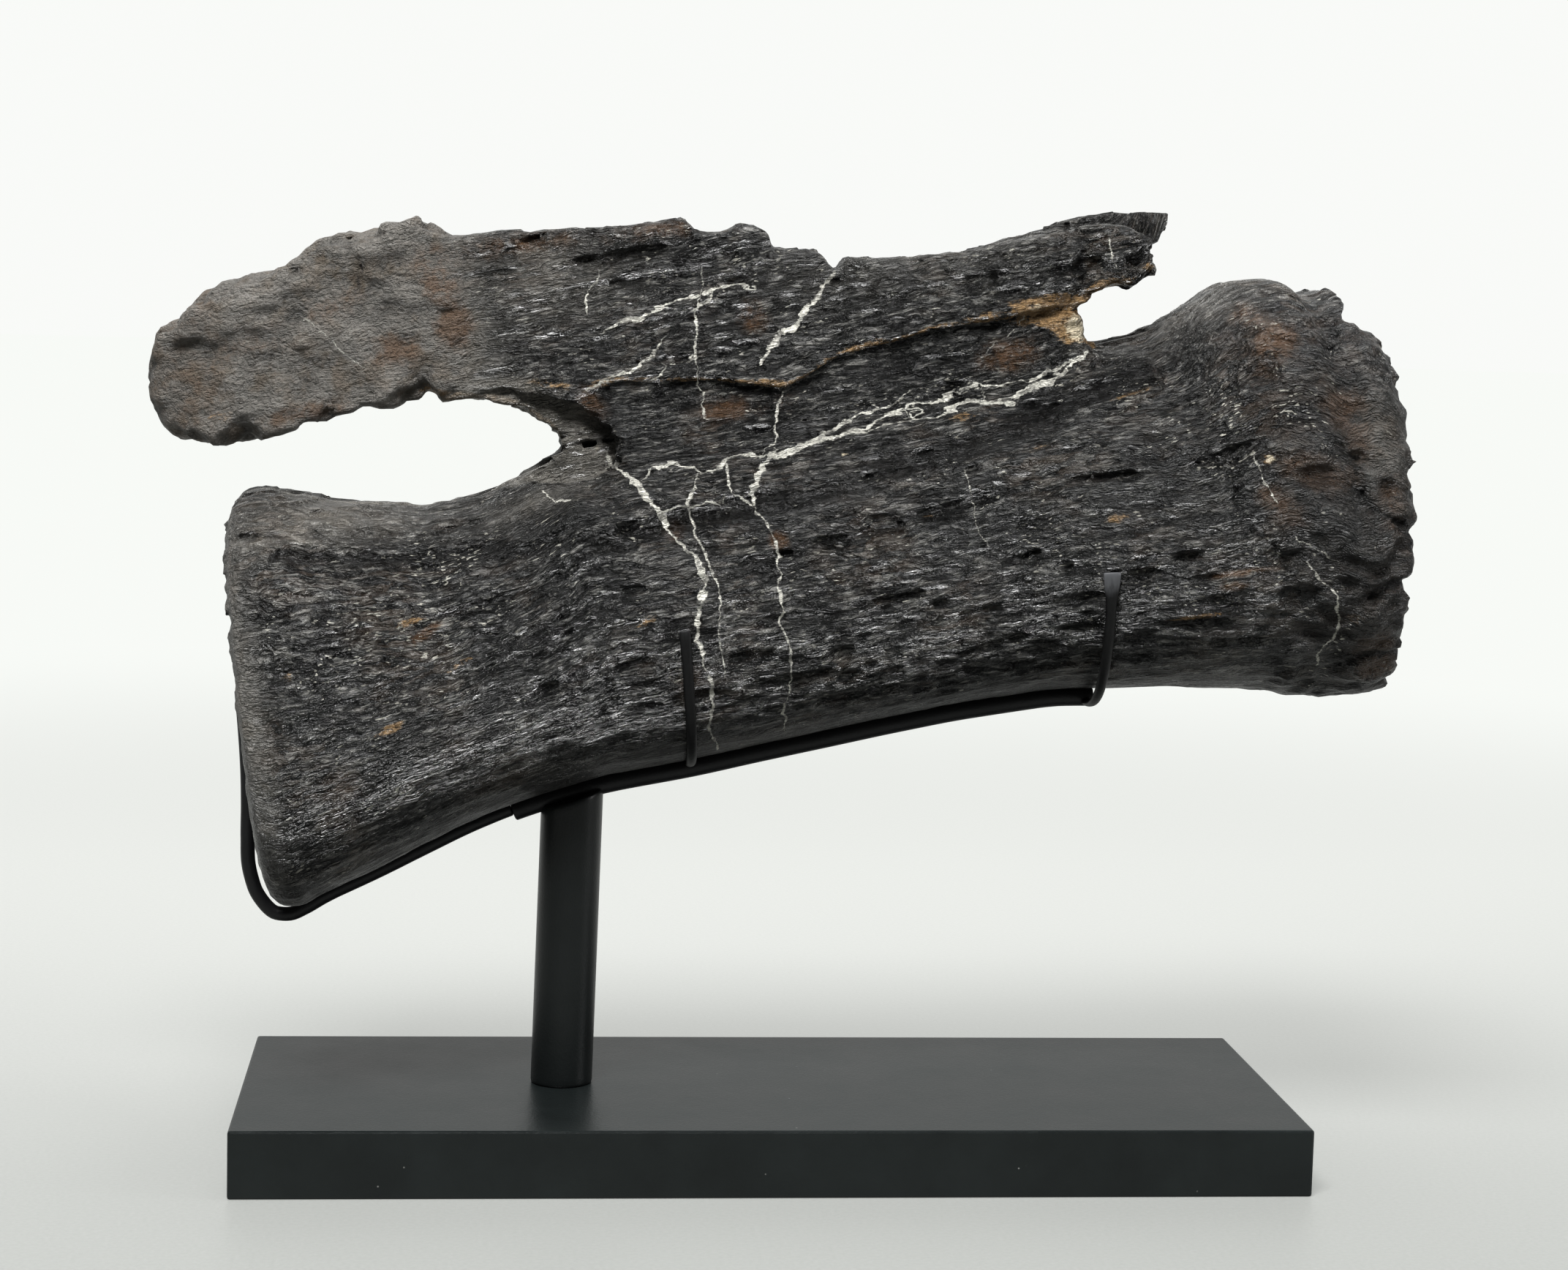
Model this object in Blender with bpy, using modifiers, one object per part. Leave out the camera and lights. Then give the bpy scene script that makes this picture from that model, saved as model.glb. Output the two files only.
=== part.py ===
"""Fossil tail vertebra of a sauropod dinosaur on its black display stand, life size.

Metres, +Z up, origin at the centre of the base's underside, +X along the base towards the bone's front end.
The bone has its own frame (u along the centrum, y across, v up), pitched about Y and held by one empty.
Station tables are in millimetres in that frame, read along the bone from its rear end to its front end.
"""

import math

import bmesh
import bpy
import numpy as np

MM = 0.001
GAP = 0.0003

# Base slab and post
BASE_LENGTH = 0.260
BASE_DEPTH = 0.094
BASE_HEIGHT = 0.0165
BASE_EDGE = 0.0006
POST_RADIUS = 0.0077
POST_FOOT_X = -0.0510
POST_LEAN = 0.021
POST_TOP_Z = 0.0866
POST_TOP_SLOPE = 0.315

# Place of the bone
BONE_ORIGIN = (0.013, 0.0, 0.138)
BONE_PITCH = math.radians(9.0)

# Centrum: u, top, bottom, half width; then how square its upper and lower halves are
CENTRUM = np.array([
    (-143.8, 43.0, -44.5, 42.0),
    (-142.4, 45.4, -48.6, 45.4),
    (-140.2, 47.0, -52.2, 46.6),
    (-136.4, 47.7, -54.0, 46.8),
    (-130.0, 46.0, -52.2, 45.6),
    (-118.0, 42.6, -48.4, 42.8),
    (-106.0, 40.2, -44.2, 40.2),
    (-94.0, 38.0, -40.2, 37.8),
    (-82.0, 38.8, -37.2, 35.2),
    (-70.0, 42.6, -35.2, 33.0),
    (-63.0, 46.0, -34.3, 31.9),
    (-58.0, 49.5, -33.9, 31.4),
    (-40.0, 50.0, -33.2, 30.4),
    (-22.0, 49.5, -31.9, 30.0),
    (-4.0, 49.5, -30.7, 30.0),
    (14.0, 49.5, -29.5, 30.5),
    (32.0, 50.5, -28.7, 31.6),
    (50.0, 52.5, -28.6, 33.4),
    (68.0, 55.0, -30.6, 36.2),
    (80.0, 55.4, -32.0, 38.2),
    (90.0, 57.4, -33.8, 40.0),
    (100.0, 61.8, -35.4, 41.9),
    (110.0, 65.8, -37.2, 43.9),
    (118.0, 64.6, -38.9, 45.4),
    (127.0, 61.0, -40.8, 46.6),
    (132.5, 59.6, -41.4, 46.8),
    (136.4, 55.6, -40.2, 45.8),
    (138.2, 51.0, -36.8, 43.0),
])
CENTRUM_RINGS = 52
CENTRUM_SIDES = 44
FACE_SLANT = 0.045
FACE_HOLLOW = ((0.90, 0.5), (0.72, 3.0), (0.48, 5.6), (0.22, 7.0))
SQUARE = np.array([
    (-144.0, 2.45, 2.10),
    (-100.0, 2.30, 2.25),
    (-20.0, 2.20, 2.40),
    (70.0, 2.30, 2.30),
    (120.0, 2.75, 2.00),
    (139.0, 2.90, 1.90),
])

# Neural arch and spine: u, lower edge, upper edge, half thickness at the top
BLADE = np.array([
    (-158.4, 74.8, 78.6, 2.6),
    (-156.0, 68.4, 81.4, 5.0),
    (-152.5, 64.5, 88.0, 7.0),
    (-147.0, 61.2, 90.6, 8.4),
    (-142.0, 60.2, 95.0, 9.2),
    (-134.0, 59.6, 98.0, 9.8),
    (-124.0, 61.6, 99.2, 10.2),
    (-115.0, 63.1, 102.4, 10.4),
    (-105.0, 65.2, 105.5, 10.2),
    (-100.0, 64.0, 105.2, 10.0),
    (-90.0, 65.8, 106.4, 9.5),
    (-86.5, 63.9, 106.1, 9.2),
    (-79.0, 62.6, 101.8, 8.4),
    (-70.0, 59.6, 101.0, 7.8),
    (-64.0, 55.4, 100.8, 7.6),
    (-59.5, 50.5, 100.2, 7.6),
    (-56.5, 38.0, 99.8, 7.6),
    (-54.0, 32.0, 99.5, 7.6),
    (-40.0, 30.0, 99.2, 7.4),
    (-23.0, 30.0, 98.6, 7.2),
    (-18.5, 30.0, 94.8, 7.2),
    (-6.0, 30.0, 94.4, 7.2),
    (-1.0, 30.0, 88.4, 7.4),
    (8.0, 30.0, 86.4, 8.0),
    (12.0, 30.0, 82.2, 8.6),
    (22.0, 30.0, 82.6, 10.2),
    (34.0, 31.0, 81.8, 12.6),
    (46.0, 32.0, 81.4, 14.8),
    (56.0, 33.0, 82.0, 16.2),
    (62.0, 34.0, 82.2, 16.8),
    (67.0, 36.0, 80.5, 16.6),
    (69.4, 44.0, 76.0, 15.8),
])
BLADE_RINGS = 84
BLADE_SIDES = 28
EDGE_ROUND = 3.6
ARCH_HEIGHTS = (36.0, 46.0, 54.0, 62.0, 72.0, 86.0)
ARCH_SPREAD = (13.0, 9.6, 7.2, 4.6, 1.8, 0.0)
ARCH_REAR = (-84.0, -52.0)
ARCH_FRONT = (0.0, 60.0)

# Articular processes at the front: u, lower edge, upper edge, centre across, half thickness
NEAR_PROCESS = np.array([
    (50.0, 64.0, 79.0, -11.6, 4.4),
    (60.0, 65.0, 81.6, -12.0, 4.9),
    (70.0, 66.0, 83.4, -12.4, 5.0),
    (79.0, 68.0, 83.2, -12.8, 4.8),
    (84.5, 68.6, 81.6, -13.0, 4.4),
    (88.6, 71.2, 78.8, -13.1, 3.0),
])
FAR_PROCESS = np.array([
    (50.0, 64.0, 80.0, 11.6, 4.4),
    (60.0, 65.4, 83.0, 12.0, 4.8),
    (70.0, 68.0, 85.2, 12.4, 4.8),
    (80.0, 70.6, 86.4, 12.8, 4.4),
    (90.0, 75.6, 86.0, 13.0, 3.9),
    (95.5, 78.2, 85.8, 13.1, 3.3),
    (98.4, 79.6, 85.2, 13.1, 2.2),
])
PROCESS_RINGS = 16
PROCESS_SIDES = 16

# Neural canal, a round passage along the arch: rear and front end of its axis, half width and half height
CANAL_REAR = (-72.0, 46.6)
CANAL_FRONT = (86.0, 60.6)
CANAL_HALF_WIDTH = 6.2
CANAL_HALF_HEIGHT = 5.4

# Armature under the bone
CLEAR = 0.36
BAR_RADIUS = 2.5
BAR_FROM = -84.6
BAR_TO = 61.0
ROD_RADIUS = 1.75
ROD_FROM = -85.1
ROD_FOOT_TO = -134.0
ROD_BEND = (
    (-138.6, -57.0),
    (-142.4, -57.8),
    (-145.8, -56.9),
    (-148.4, -54.0),
    (-150.2, -49.4),
    (-150.7, -44.0),
    (-149.9, -37.0),
    (-148.6, -29.0),
    (-147.4, -20.0),
    (-146.5, -10.0),
    (-145.9, -1.0),
)
PRONG_RADIUS = 1.25
PRONG_REAR_X = (-20.6, -24.3)
PRONG_FRONT_X = (79.0, 77.4)
PRONG_FRONT_DROP = 2.0
PRONG_TOP = 1.8
PRONG_SIDES = 26
PADDLE_LENGTH = 7.0
PADDLE_WIDER = 0.62
PADDLE_THINNER = 0.42


def clear_scene():
    for thing in list(bpy.data.objects):
        bpy.data.objects.remove(thing, do_unlink=True)


def new_collection(name):
    made = bpy.data.collections.new(name)
    bpy.context.scene.collection.children.link(made)
    return made


def new_material(name, colour, roughness, metallic):
    made = bpy.data.materials.new(name)
    made.use_nodes = True
    shader = made.node_tree.nodes["Principled BSDF"]
    shader.inputs["Base Color"].default_value = (*colour, 1.0)
    shader.inputs["Roughness"].default_value = roughness
    shader.inputs["Metallic"].default_value = metallic
    return made


def smooth_rows(table, u):
    """Rows of a station table at each u, by cubic curves whose slopes are limited so that they never overshoot."""
    x = table[:, 0]
    y = table[:, 1:]
    step = np.diff(x)[:, None]
    rise = np.diff(y, axis=0) / step
    slope = np.zeros_like(y)
    same = rise[:-1] * rise[1:] > 0
    total = np.where(same, rise[:-1] + rise[1:], 1.0)
    slope[1:-1] = np.where(same, 2.0 * rise[:-1] * rise[1:] / total, 0.0)
    slope[0] = rise[0]
    slope[-1] = rise[-1]
    k = np.clip(np.searchsorted(x, u, side="right") - 1, 0, len(x) - 2)
    t = ((u - x[k]) / (x[k + 1] - x[k]))[:, None]
    width = step[k]
    left = y[k] * (1.0 + 2.0 * t) * (1.0 - t) ** 2 + slope[k] * width * t * (1.0 - t) ** 2
    right = y[k + 1] * t ** 2 * (3.0 - 2.0 * t) + slope[k + 1] * width * t ** 2 * (t - 1.0)
    return left + right


def stations(table, count):
    """Places for the rings: even along the length, drawn towards the table's own close-set stations."""
    even = np.linspace(table[0, 0], table[-1, 0], count)
    own = np.interp(np.linspace(0.0, 1.0, count), np.linspace(0.0, 1.0, len(table)), table[:, 0])
    return 0.45 * even + 0.55 * own


def ease(a, b, x):
    t = np.clip((x - a) / (b - a), 0.0, 1.0)
    return t * t * (3.0 - 2.0 * t)


def relief(u, y, v):
    """Low lumps of the weathered surface, under a millimetre, none below the mid-height where the mount touches."""
    waves = (
        np.sin(u / 9.1 + 0.8 + y / 13.0) * np.sin(v / 7.3 + 1.9)
        + 0.7 * np.sin(u / 5.3 - v / 6.1 + 2.2)
        + 0.6 * np.sin(v / 4.1 + y / 5.0 + u / 17.0)
    )
    return 0.28 * waves * ease(-6.0, 14.0, v)


def centrum_section(u):
    """Middle height, half height, half width of the centrum at each u."""
    top, bottom, half = smooth_rows(CENTRUM, np.atleast_1d(np.asarray(u, float))).T
    return 0.5 * (top + bottom), 0.5 * (top - bottom), half


def centrum_ring(u, angle, grow=1.0):
    """One ring across the centrum: a rounded square whose upper and lower halves differ."""
    middle, height, half = (a[0] for a in centrum_section(u))
    above, below = smooth_rows(SQUARE, np.array([float(u)]))[0]
    c = np.cos(angle)
    s = np.sin(angle)
    power = np.where(s > 0, 2.0 / above, 2.0 / below)
    y = grow * half * np.sign(c) * np.abs(c) ** power
    up = grow * height * np.sign(s) * np.abs(s) ** power
    return y, middle + up, up


def loft(name, rings, collection):
    """A closed mesh through rings of equal count, with a fan over each end ring."""
    count, sides, _ = rings.shape
    points = np.concatenate([rings.reshape(-1, 3), rings[0].mean(0)[None], rings[-1].mean(0)[None]])
    first = count * sides
    last = first + 1
    i, j = np.meshgrid(np.arange(count - 1), np.arange(sides), indexing="ij")
    k = (j + 1) % sides
    quads = np.stack([i * sides + j, i * sides + k, (i + 1) * sides + k, (i + 1) * sides + j], -1)
    around = np.arange(sides)
    after = (around + 1) % sides
    start = np.stack([np.full(sides, first), after, around], -1)
    end_ring = (count - 1) * sides
    end = np.stack([np.full(sides, last), end_ring + around, end_ring + after], -1)
    mesh = bpy.data.meshes.new(name)
    mesh.from_pydata((points * MM).tolist(), [], quads.reshape(-1, 4).tolist() + start.tolist() + end.tolist())
    made = bpy.data.objects.new(name, mesh)
    collection.objects.link(made)
    face_outward(mesh)
    return made


def face_outward(mesh):
    edit = bmesh.new()
    edit.from_mesh(mesh)
    bmesh.ops.recalc_face_normals(edit, faces=edit.faces)
    if edit.calc_volume(signed=True) < 0:
        bmesh.ops.reverse_faces(edit, faces=edit.faces)
    edit.to_mesh(mesh)
    edit.free()


def centrum_body(collection):
    angle = np.linspace(0.0, 2.0 * np.pi, CENTRUM_SIDES, endpoint=False)
    rings = []
    us = stations(CENTRUM, CENTRUM_RINGS)
    for u in us:
        y, v, up = centrum_ring(u, angle)
        bump = relief(u, y, v)
        y = y + bump * np.cos(angle)
        v = v + bump * np.sin(angle)
        rings.append(np.stack([u + slant(u) * up, y, v], -1))
    rear = [hollow_ring(us[0], angle, grow, depth, 1.0) for grow, depth in reversed(FACE_HOLLOW)]
    front = [hollow_ring(us[-1], angle, grow, depth, -1.0) for grow, depth in FACE_HOLLOW]
    return loft("centrum", np.array(rear + rings + front), collection)


def slant(u):
    """The rear face leans: its top stands further forward than its foot."""
    return FACE_SLANT * (1.0 - ease(-142.0, -70.0, u))


def hollow_ring(u, angle, grow, depth, inward):
    """A ring of the shallow dish in an end face."""
    y, v, up = centrum_ring(u, angle, grow)
    return np.stack([u + slant(u) * up + inward * depth, y, v], -1)


def arch_spread(u, v):
    """What the arch adds to the blade's half thickness as it widens down to the centrum."""
    wide = np.interp(v, ARCH_HEIGHTS, ARCH_SPREAD)
    along = ease(ARCH_REAR[0], ARCH_REAR[1], u) * (1.0 - 0.75 * ease(ARCH_FRONT[0], ARCH_FRONT[1], u))
    return wide * along


def blade_body(collection):
    turn = np.linspace(0.0, 2.0 * np.pi, BLADE_SIDES, endpoint=False) + np.pi / BLADE_SIDES
    rings = []
    for u in stations(BLADE, BLADE_RINGS):
        low, high, thick = smooth_rows(BLADE, np.array([u]))[0]
        middle = 0.5 * (low + high)
        rise = np.sign(np.sin(turn)) * np.abs(np.sin(turn)) ** (2.0 / EDGE_ROUND)
        across = np.sign(np.cos(turn)) * np.abs(np.cos(turn)) ** (2.0 / EDGE_ROUND)
        v = middle + 0.5 * (high - low) * rise
        y = across * (thick + arch_spread(u, v))
        bump = relief(u, y, v)
        y = y + bump * np.sign(y) * np.minimum(np.abs(y) / 4.0, 1.0)
        rings.append(np.stack([np.full_like(y, u), y, v], -1))
    return loft("arch_and_spine", np.array(rings), collection)


def process_body(name, table, collection):
    turn = np.linspace(0.0, 2.0 * np.pi, PROCESS_SIDES, endpoint=False) + np.pi / PROCESS_SIDES
    rings = []
    for u in stations(table, PROCESS_RINGS):
        low, high, centre, thick = smooth_rows(table, np.array([u]))[0]
        rise = np.sign(np.sin(turn)) * np.abs(np.sin(turn)) ** 0.7
        across = np.sign(np.cos(turn)) * np.abs(np.cos(turn)) ** 0.7
        v = 0.5 * (low + high) + 0.5 * (high - low) * rise
        y = centre + thick * across
        rings.append(np.stack([np.full_like(y, u), y, v], -1))
    return loft(name, np.array(rings), collection)


def canal_cutter(collection):
    """An oval rod along the canal's axis, longer than the arch at both ends."""
    edit = bmesh.new()
    bmesh.ops.create_cone(edit, cap_ends=True, segments=20, radius1=1.0, radius2=1.0, depth=1.0)
    start = np.array([CANAL_REAR[0], 0.0, CANAL_REAR[1]])
    finish = np.array([CANAL_FRONT[0], 0.0, CANAL_FRONT[1]])
    for vert in edit.verts:
        across, up, along = vert.co
        place = start + (finish - start) * (along + 0.5)
        place = place + np.array([0.0, across * CANAL_HALF_WIDTH, up * CANAL_HALF_HEIGHT])
        vert.co = (place * MM).tolist()
    mesh = bpy.data.meshes.new("neural_canal")
    edit.to_mesh(mesh)
    edit.free()
    face_outward(mesh)
    made = bpy.data.objects.new("neural_canal", mesh)
    collection.objects.link(made)
    made.hide_render = True
    made.display_type = "WIRE"
    return made


def keep_largest(mesh):
    """Keeps the largest closed surface and drops loose scraps and sealed hollows."""
    edit = bmesh.new()
    edit.from_mesh(mesh)
    left = set(edit.verts)
    groups = []
    while left:
        grown = [left.pop()]
        group = list(grown)
        while grown:
            vert = grown.pop()
            for edge in vert.link_edges:
                other = edge.other_vert(vert)
                if other in left:
                    left.remove(other)
                    grown.append(other)
                    group.append(other)
        groups.append(group)
    groups.sort(key=len)
    for group in groups[:-1]:
        bmesh.ops.delete(edit, geom=group, context="VERTS")
    bmesh.ops.triangulate(edit, faces=edit.faces)
    bmesh.ops.dissolve_degenerate(edit, dist=0.00001, edges=edit.edges)
    bmesh.ops.triangulate(edit, faces=edit.faces)
    edit.to_mesh(mesh)
    edit.free()


def fuse(name, first, others, cutter, collection):
    """Joins the closed pieces into one surface, cuts the passage through it and applies the result."""
    pieces = bpy.data.collections.new("pieces")
    for thing in others:
        pieces.objects.link(thing)
    join = first.modifiers.new("join", "BOOLEAN")
    join.operation = "UNION"
    join.solver = "EXACT"
    join.operand_type = "COLLECTION"
    join.collection = pieces
    cut = first.modifiers.new("canal", "BOOLEAN")
    cut.operation = "DIFFERENCE"
    cut.solver = "EXACT"
    cut.object = cutter
    view = bpy.context.evaluated_depsgraph_get()
    mesh = bpy.data.meshes.new_from_object(first.evaluated_get(view))
    mesh.name = name
    keep_largest(mesh)
    made = bpy.data.objects.new(name, mesh)
    collection.objects.link(made)
    for thing in [first, *others]:
        bpy.data.objects.remove(thing, do_unlink=True)
    bpy.data.collections.remove(pieces)
    return made


def shade(thing, degrees):
    thing.data.shade_smooth()
    thing.data.set_sharp_from_angle(angle=math.radians(degrees))


def underside(u):
    """The bone's lowest line at u."""
    middle, height, _ = centrum_section(u)
    return middle - height


def wire(name, points, radius, collection, parent, material):
    """A round wire through the points of the bone's frame, with closed ends, made a mesh with its caps welded."""
    curve = bpy.data.curves.new(name, "CURVE")
    curve.dimensions = "3D"
    curve.bevel_depth = radius * MM
    curve.bevel_resolution = 2
    curve.use_fill_caps = True
    spline = curve.splines.new("POLY")
    spline.points.add(len(points) - 1)
    for point, place in zip(spline.points, np.asarray(points) * MM):
        point.co = (*place.tolist(), 1.0)
    guide = bpy.data.objects.new(name + "_curve", curve)
    collection.objects.link(guide)
    view = bpy.context.evaluated_depsgraph_get()
    mesh = bpy.data.meshes.new_from_object(guide.evaluated_get(view))
    bpy.data.objects.remove(guide, do_unlink=True)
    mesh.name = name
    edit = bmesh.new()
    edit.from_mesh(mesh)
    bmesh.ops.remove_doubles(edit, verts=edit.verts, dist=0.00002)
    edit.to_mesh(mesh)
    edit.free()
    face_outward(mesh)
    mesh.materials.clear()
    mesh.materials.append(material)
    made = bpy.data.objects.new(name, mesh)
    collection.objects.link(made)
    made.parent = parent
    shade(made, 50.0)
    return made


def bar_path():
    u = np.linspace(BAR_FROM, BAR_TO, 34)
    v = underside(u) - CLEAR - BAR_RADIUS
    return np.stack([u, np.zeros_like(u), v], -1)


def rod_path():
    """Along the underside to the rear corner, round it with room to spare, and up the rear face."""
    u = np.linspace(ROD_FROM, ROD_FOOT_TO, 16)
    v = underside(u) - CLEAR - ROD_RADIUS
    foot = np.stack([u, v], -1)
    knots = np.concatenate([foot, np.array(ROD_BEND)])
    length = np.concatenate([[0.0], np.cumsum(np.linalg.norm(np.diff(knots, axis=0), axis=1))])
    even = np.linspace(0.0, length[-1], 46)
    path = smooth_rows(np.column_stack([length, knots]), even)
    return np.stack([path[:, 0], np.zeros(len(path)), path[:, 1]], -1)


def prong_path(ends, side, drop=0.0):
    """In a nearly upright plane across the base: from the bar's side, under the bone and close up its flank."""
    turn = np.linspace(math.radians(-88.0), math.radians(-1.0), 60)
    middle_u = (0.5 * (ends[0] + ends[1]) - BONE_ORIGIN[0] / MM) / math.cos(BONE_PITCH)
    y, v, _ = centrum_ring(middle_u, turn)
    tangent = np.gradient(np.stack([y, v], -1), axis=0)
    tangent = tangent / np.linalg.norm(tangent, axis=1)[:, None]
    off = CLEAR + PRONG_RADIUS + drop * (1.0 - ease(-80.0, -35.0, np.degrees(turn)))
    y = y + tangent[:, 1] * off
    v = v - tangent[:, 0] * off
    keep = (y > BAR_RADIUS + GAP / MM) & (v < PRONG_TOP)
    y = np.concatenate([[BAR_RADIUS + GAP / MM], y[keep], [y[keep][-1]]])
    v = np.concatenate([[v[keep][0]], v[keep], [PRONG_TOP]])
    length = np.concatenate([[0.0], np.cumsum(np.hypot(np.diff(y), np.diff(v)))])
    even = np.linspace(0.0, length[-1], PRONG_SIDES)
    y = np.interp(even, length, y)
    v = np.interp(even, length, v)
    x = ends[0] + (ends[1] - ends[0]) * (v - v[0]) / (v[-1] - v[0])
    u = (x - BONE_ORIGIN[0] / MM + v * math.sin(BONE_PITCH)) / math.cos(BONE_PITCH)
    return np.stack([u, side * y, v], -1)


def flatten_tip(thing, path):
    """Hammers the last few millimetres of a prong into a paddle, wider along the bone and thinner across."""
    axis_u, axis_y, top = path[-1]
    for vert in thing.data.vertices:
        u, y, v = (c / MM for c in vert.co)
        share = float(ease(top - PADDLE_LENGTH, top - 0.25 * PADDLE_LENGTH, v))
        u = axis_u + (u - axis_u) * (1.0 + PADDLE_WIDER * share)
        centre = float(np.interp(v, path[:, 2], path[:, 1]))
        y = centre + (y - centre) * (1.0 - PADDLE_THINNER * share)
        vert.co = (u * MM, y * MM, v * MM)


def base_slab(collection, material):
    bpy.ops.mesh.primitive_cube_add(size=1.0, location=(0.0, 0.0, 0.5 * BASE_HEIGHT))
    made = bpy.context.active_object
    made.name = "stand_base"
    made.scale = (BASE_LENGTH, BASE_DEPTH, BASE_HEIGHT)
    bpy.ops.object.transform_apply(location=False, rotation=False, scale=True)
    move_to(made, collection)
    edge = made.modifiers.new("edge", "BEVEL")
    edge.width = BASE_EDGE
    edge.segments = 2
    made.data.materials.append(material)
    return made


def post(collection, material):
    """A round post whose foot is flat on the base and whose leaning top is cut along the bar."""
    foot = BASE_HEIGHT + GAP
    bpy.ops.mesh.primitive_cylinder_add(vertices=40, radius=POST_RADIUS, depth=1.0, location=(0.0, 0.0, 0.5))
    made = bpy.context.active_object
    made.name = "stand_post"
    bpy.ops.object.transform_apply(location=True, rotation=True, scale=True)
    move_to(made, collection)
    for vert in made.data.vertices:
        x, y, high = vert.co
        lean = POST_LEAN * (POST_TOP_Z - foot) * high
        z = foot + high * (POST_TOP_Z - foot + POST_TOP_SLOPE * x)
        vert.co = (POST_FOOT_X + x + lean, y, z)
    made.data.materials.append(material)
    shade(made, 40.0)
    return made


def move_to(thing, collection):
    for owner in list(thing.users_collection):
        owner.objects.unlink(thing)
    collection.objects.link(thing)


clear_scene()
parts = new_collection("fossil_tail_vertebra")
cutters = new_collection("cutters")

bone_material = new_material("fossil_bone", (0.034, 0.029, 0.025), 0.5, 0.0)
slab_material = new_material("satin_black_slab", (0.016, 0.018, 0.018), 0.42, 0.0)
post_material = new_material("black_post_paint", (0.011, 0.013, 0.013), 0.36, 0.0)
bar_material = new_material("black_bar_paint", (0.010, 0.010, 0.011), 0.5, 0.0)
rod_material = new_material("black_rod_paint", (0.010, 0.010, 0.011), 0.48, 0.0)
prong_material = new_material("black_prong_paint", (0.018, 0.018, 0.019), 0.45, 0.0)

frame = bpy.data.objects.new("bone_frame", None)
frame.location = BONE_ORIGIN
frame.rotation_euler = (0.0, -BONE_PITCH, 0.0)
parts.objects.link(frame)

centrum = centrum_body(parts)
arch = blade_body(parts)
near = process_body("near_process", NEAR_PROCESS, parts)
far = process_body("far_process", FAR_PROCESS, parts)
canal = canal_cutter(cutters)
vertebra = fuse("vertebra", centrum, [arch, near, far], canal, parts)
vertebra.data.materials.append(bone_material)
vertebra.parent = frame
canal.parent = frame
shade(vertebra, 50.0)

base_slab(parts, slab_material)
post(parts, post_material)
wire("stand_bar", bar_path(), BAR_RADIUS, parts, frame, bar_material)
wire("stand_rod_rear", rod_path(), ROD_RADIUS, parts, frame, rod_material)
for place, ends in (("rear", PRONG_REAR_X), ("front", PRONG_FRONT_X)):
    for side_name, side in (("near", -1.0), ("far", 1.0)):
        path = prong_path(ends, side, PRONG_FRONT_DROP if place == "front" else 0.0)
        prong = wire(f"stand_prong_{place}_{side_name}", path, PRONG_RADIUS, parts, frame, prong_material)
        if place == "front":
            flatten_tip(prong, path)
bpy.context.view_layer.update()
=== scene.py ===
import math

import bpy
import numpy as np
from mathutils import Matrix, Vector


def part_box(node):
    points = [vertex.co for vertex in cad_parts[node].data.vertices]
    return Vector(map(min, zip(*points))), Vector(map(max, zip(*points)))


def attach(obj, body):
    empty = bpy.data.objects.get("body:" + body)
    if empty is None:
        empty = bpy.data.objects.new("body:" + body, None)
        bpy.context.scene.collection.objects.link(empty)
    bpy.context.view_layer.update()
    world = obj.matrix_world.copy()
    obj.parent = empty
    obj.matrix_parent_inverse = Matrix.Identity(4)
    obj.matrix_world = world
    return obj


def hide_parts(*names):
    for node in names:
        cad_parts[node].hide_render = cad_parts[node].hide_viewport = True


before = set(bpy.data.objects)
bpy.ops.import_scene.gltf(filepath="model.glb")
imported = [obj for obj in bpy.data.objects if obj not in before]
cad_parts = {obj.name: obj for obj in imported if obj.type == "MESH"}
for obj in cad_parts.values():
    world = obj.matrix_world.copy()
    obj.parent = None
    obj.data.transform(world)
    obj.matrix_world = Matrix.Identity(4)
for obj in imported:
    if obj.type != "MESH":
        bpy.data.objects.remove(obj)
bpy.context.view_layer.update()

# The bone's form
# One long tail vertebra, turned to dark stone: a spool-shaped centrum with flared, dished ends, a plate-like
# arch with a backward spine, and two broken processes in front. It is one piece, held 9 degrees up in front.
# All lengths in this section are millimetres along the bone (u), across it (y) and up from its axis (v).

BONE_PLACE = np.array([13.0, 0.0, 138.0])
BONE_PITCH = math.radians(9.0)

# u, top, bottom, half width
centrum_stations = np.array([
    (-143.8, 43.0, -48.2, 42.6), (-142.4, 45.4, -51.6, 45.6), (-140.2, 47.0, -53.6, 46.7),
    (-136.4, 47.7, -54.3, 46.8), (-130.0, 46.0, -52.2, 45.6), (-118.0, 42.6, -48.4, 42.8),
    (-106.0, 40.2, -44.2, 40.2), (-94.0, 38.0, -40.2, 37.8), (-82.0, 38.8, -37.2, 35.2),
    (-70.0, 42.6, -35.2, 33.0), (-63.0, 46.0, -34.3, 31.9), (-58.0, 49.5, -33.9, 31.4),
    (-40.0, 50.0, -33.2, 30.4), (-22.0, 49.5, -31.9, 30.0), (-4.0, 49.5, -30.7, 30.0),
    (14.0, 49.5, -29.5, 30.5), (32.0, 50.5, -28.7, 31.6), (50.0, 52.5, -28.6, 33.4),
    (68.0, 55.0, -30.6, 36.2), (80.0, 55.4, -32.0, 38.2), (90.0, 57.4, -33.8, 40.0),
    (100.0, 61.8, -35.4, 41.9), (110.0, 65.8, -37.2, 43.9), (118.5, 65.0, -39.0, 45.5),
    (121.0, 63.8, -39.5, 45.9), (123.5, 60.8, -40.1, 46.3), (127.0, 60.2, -40.8, 46.6),
    (131.5, 61.0, -41.4, 46.8), (134.4, 59.0, -41.0, 46.6), (136.6, 55.6, -40.2, 45.9),
    (138.4, 52.0, -37.6, 44.0),
])
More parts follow.
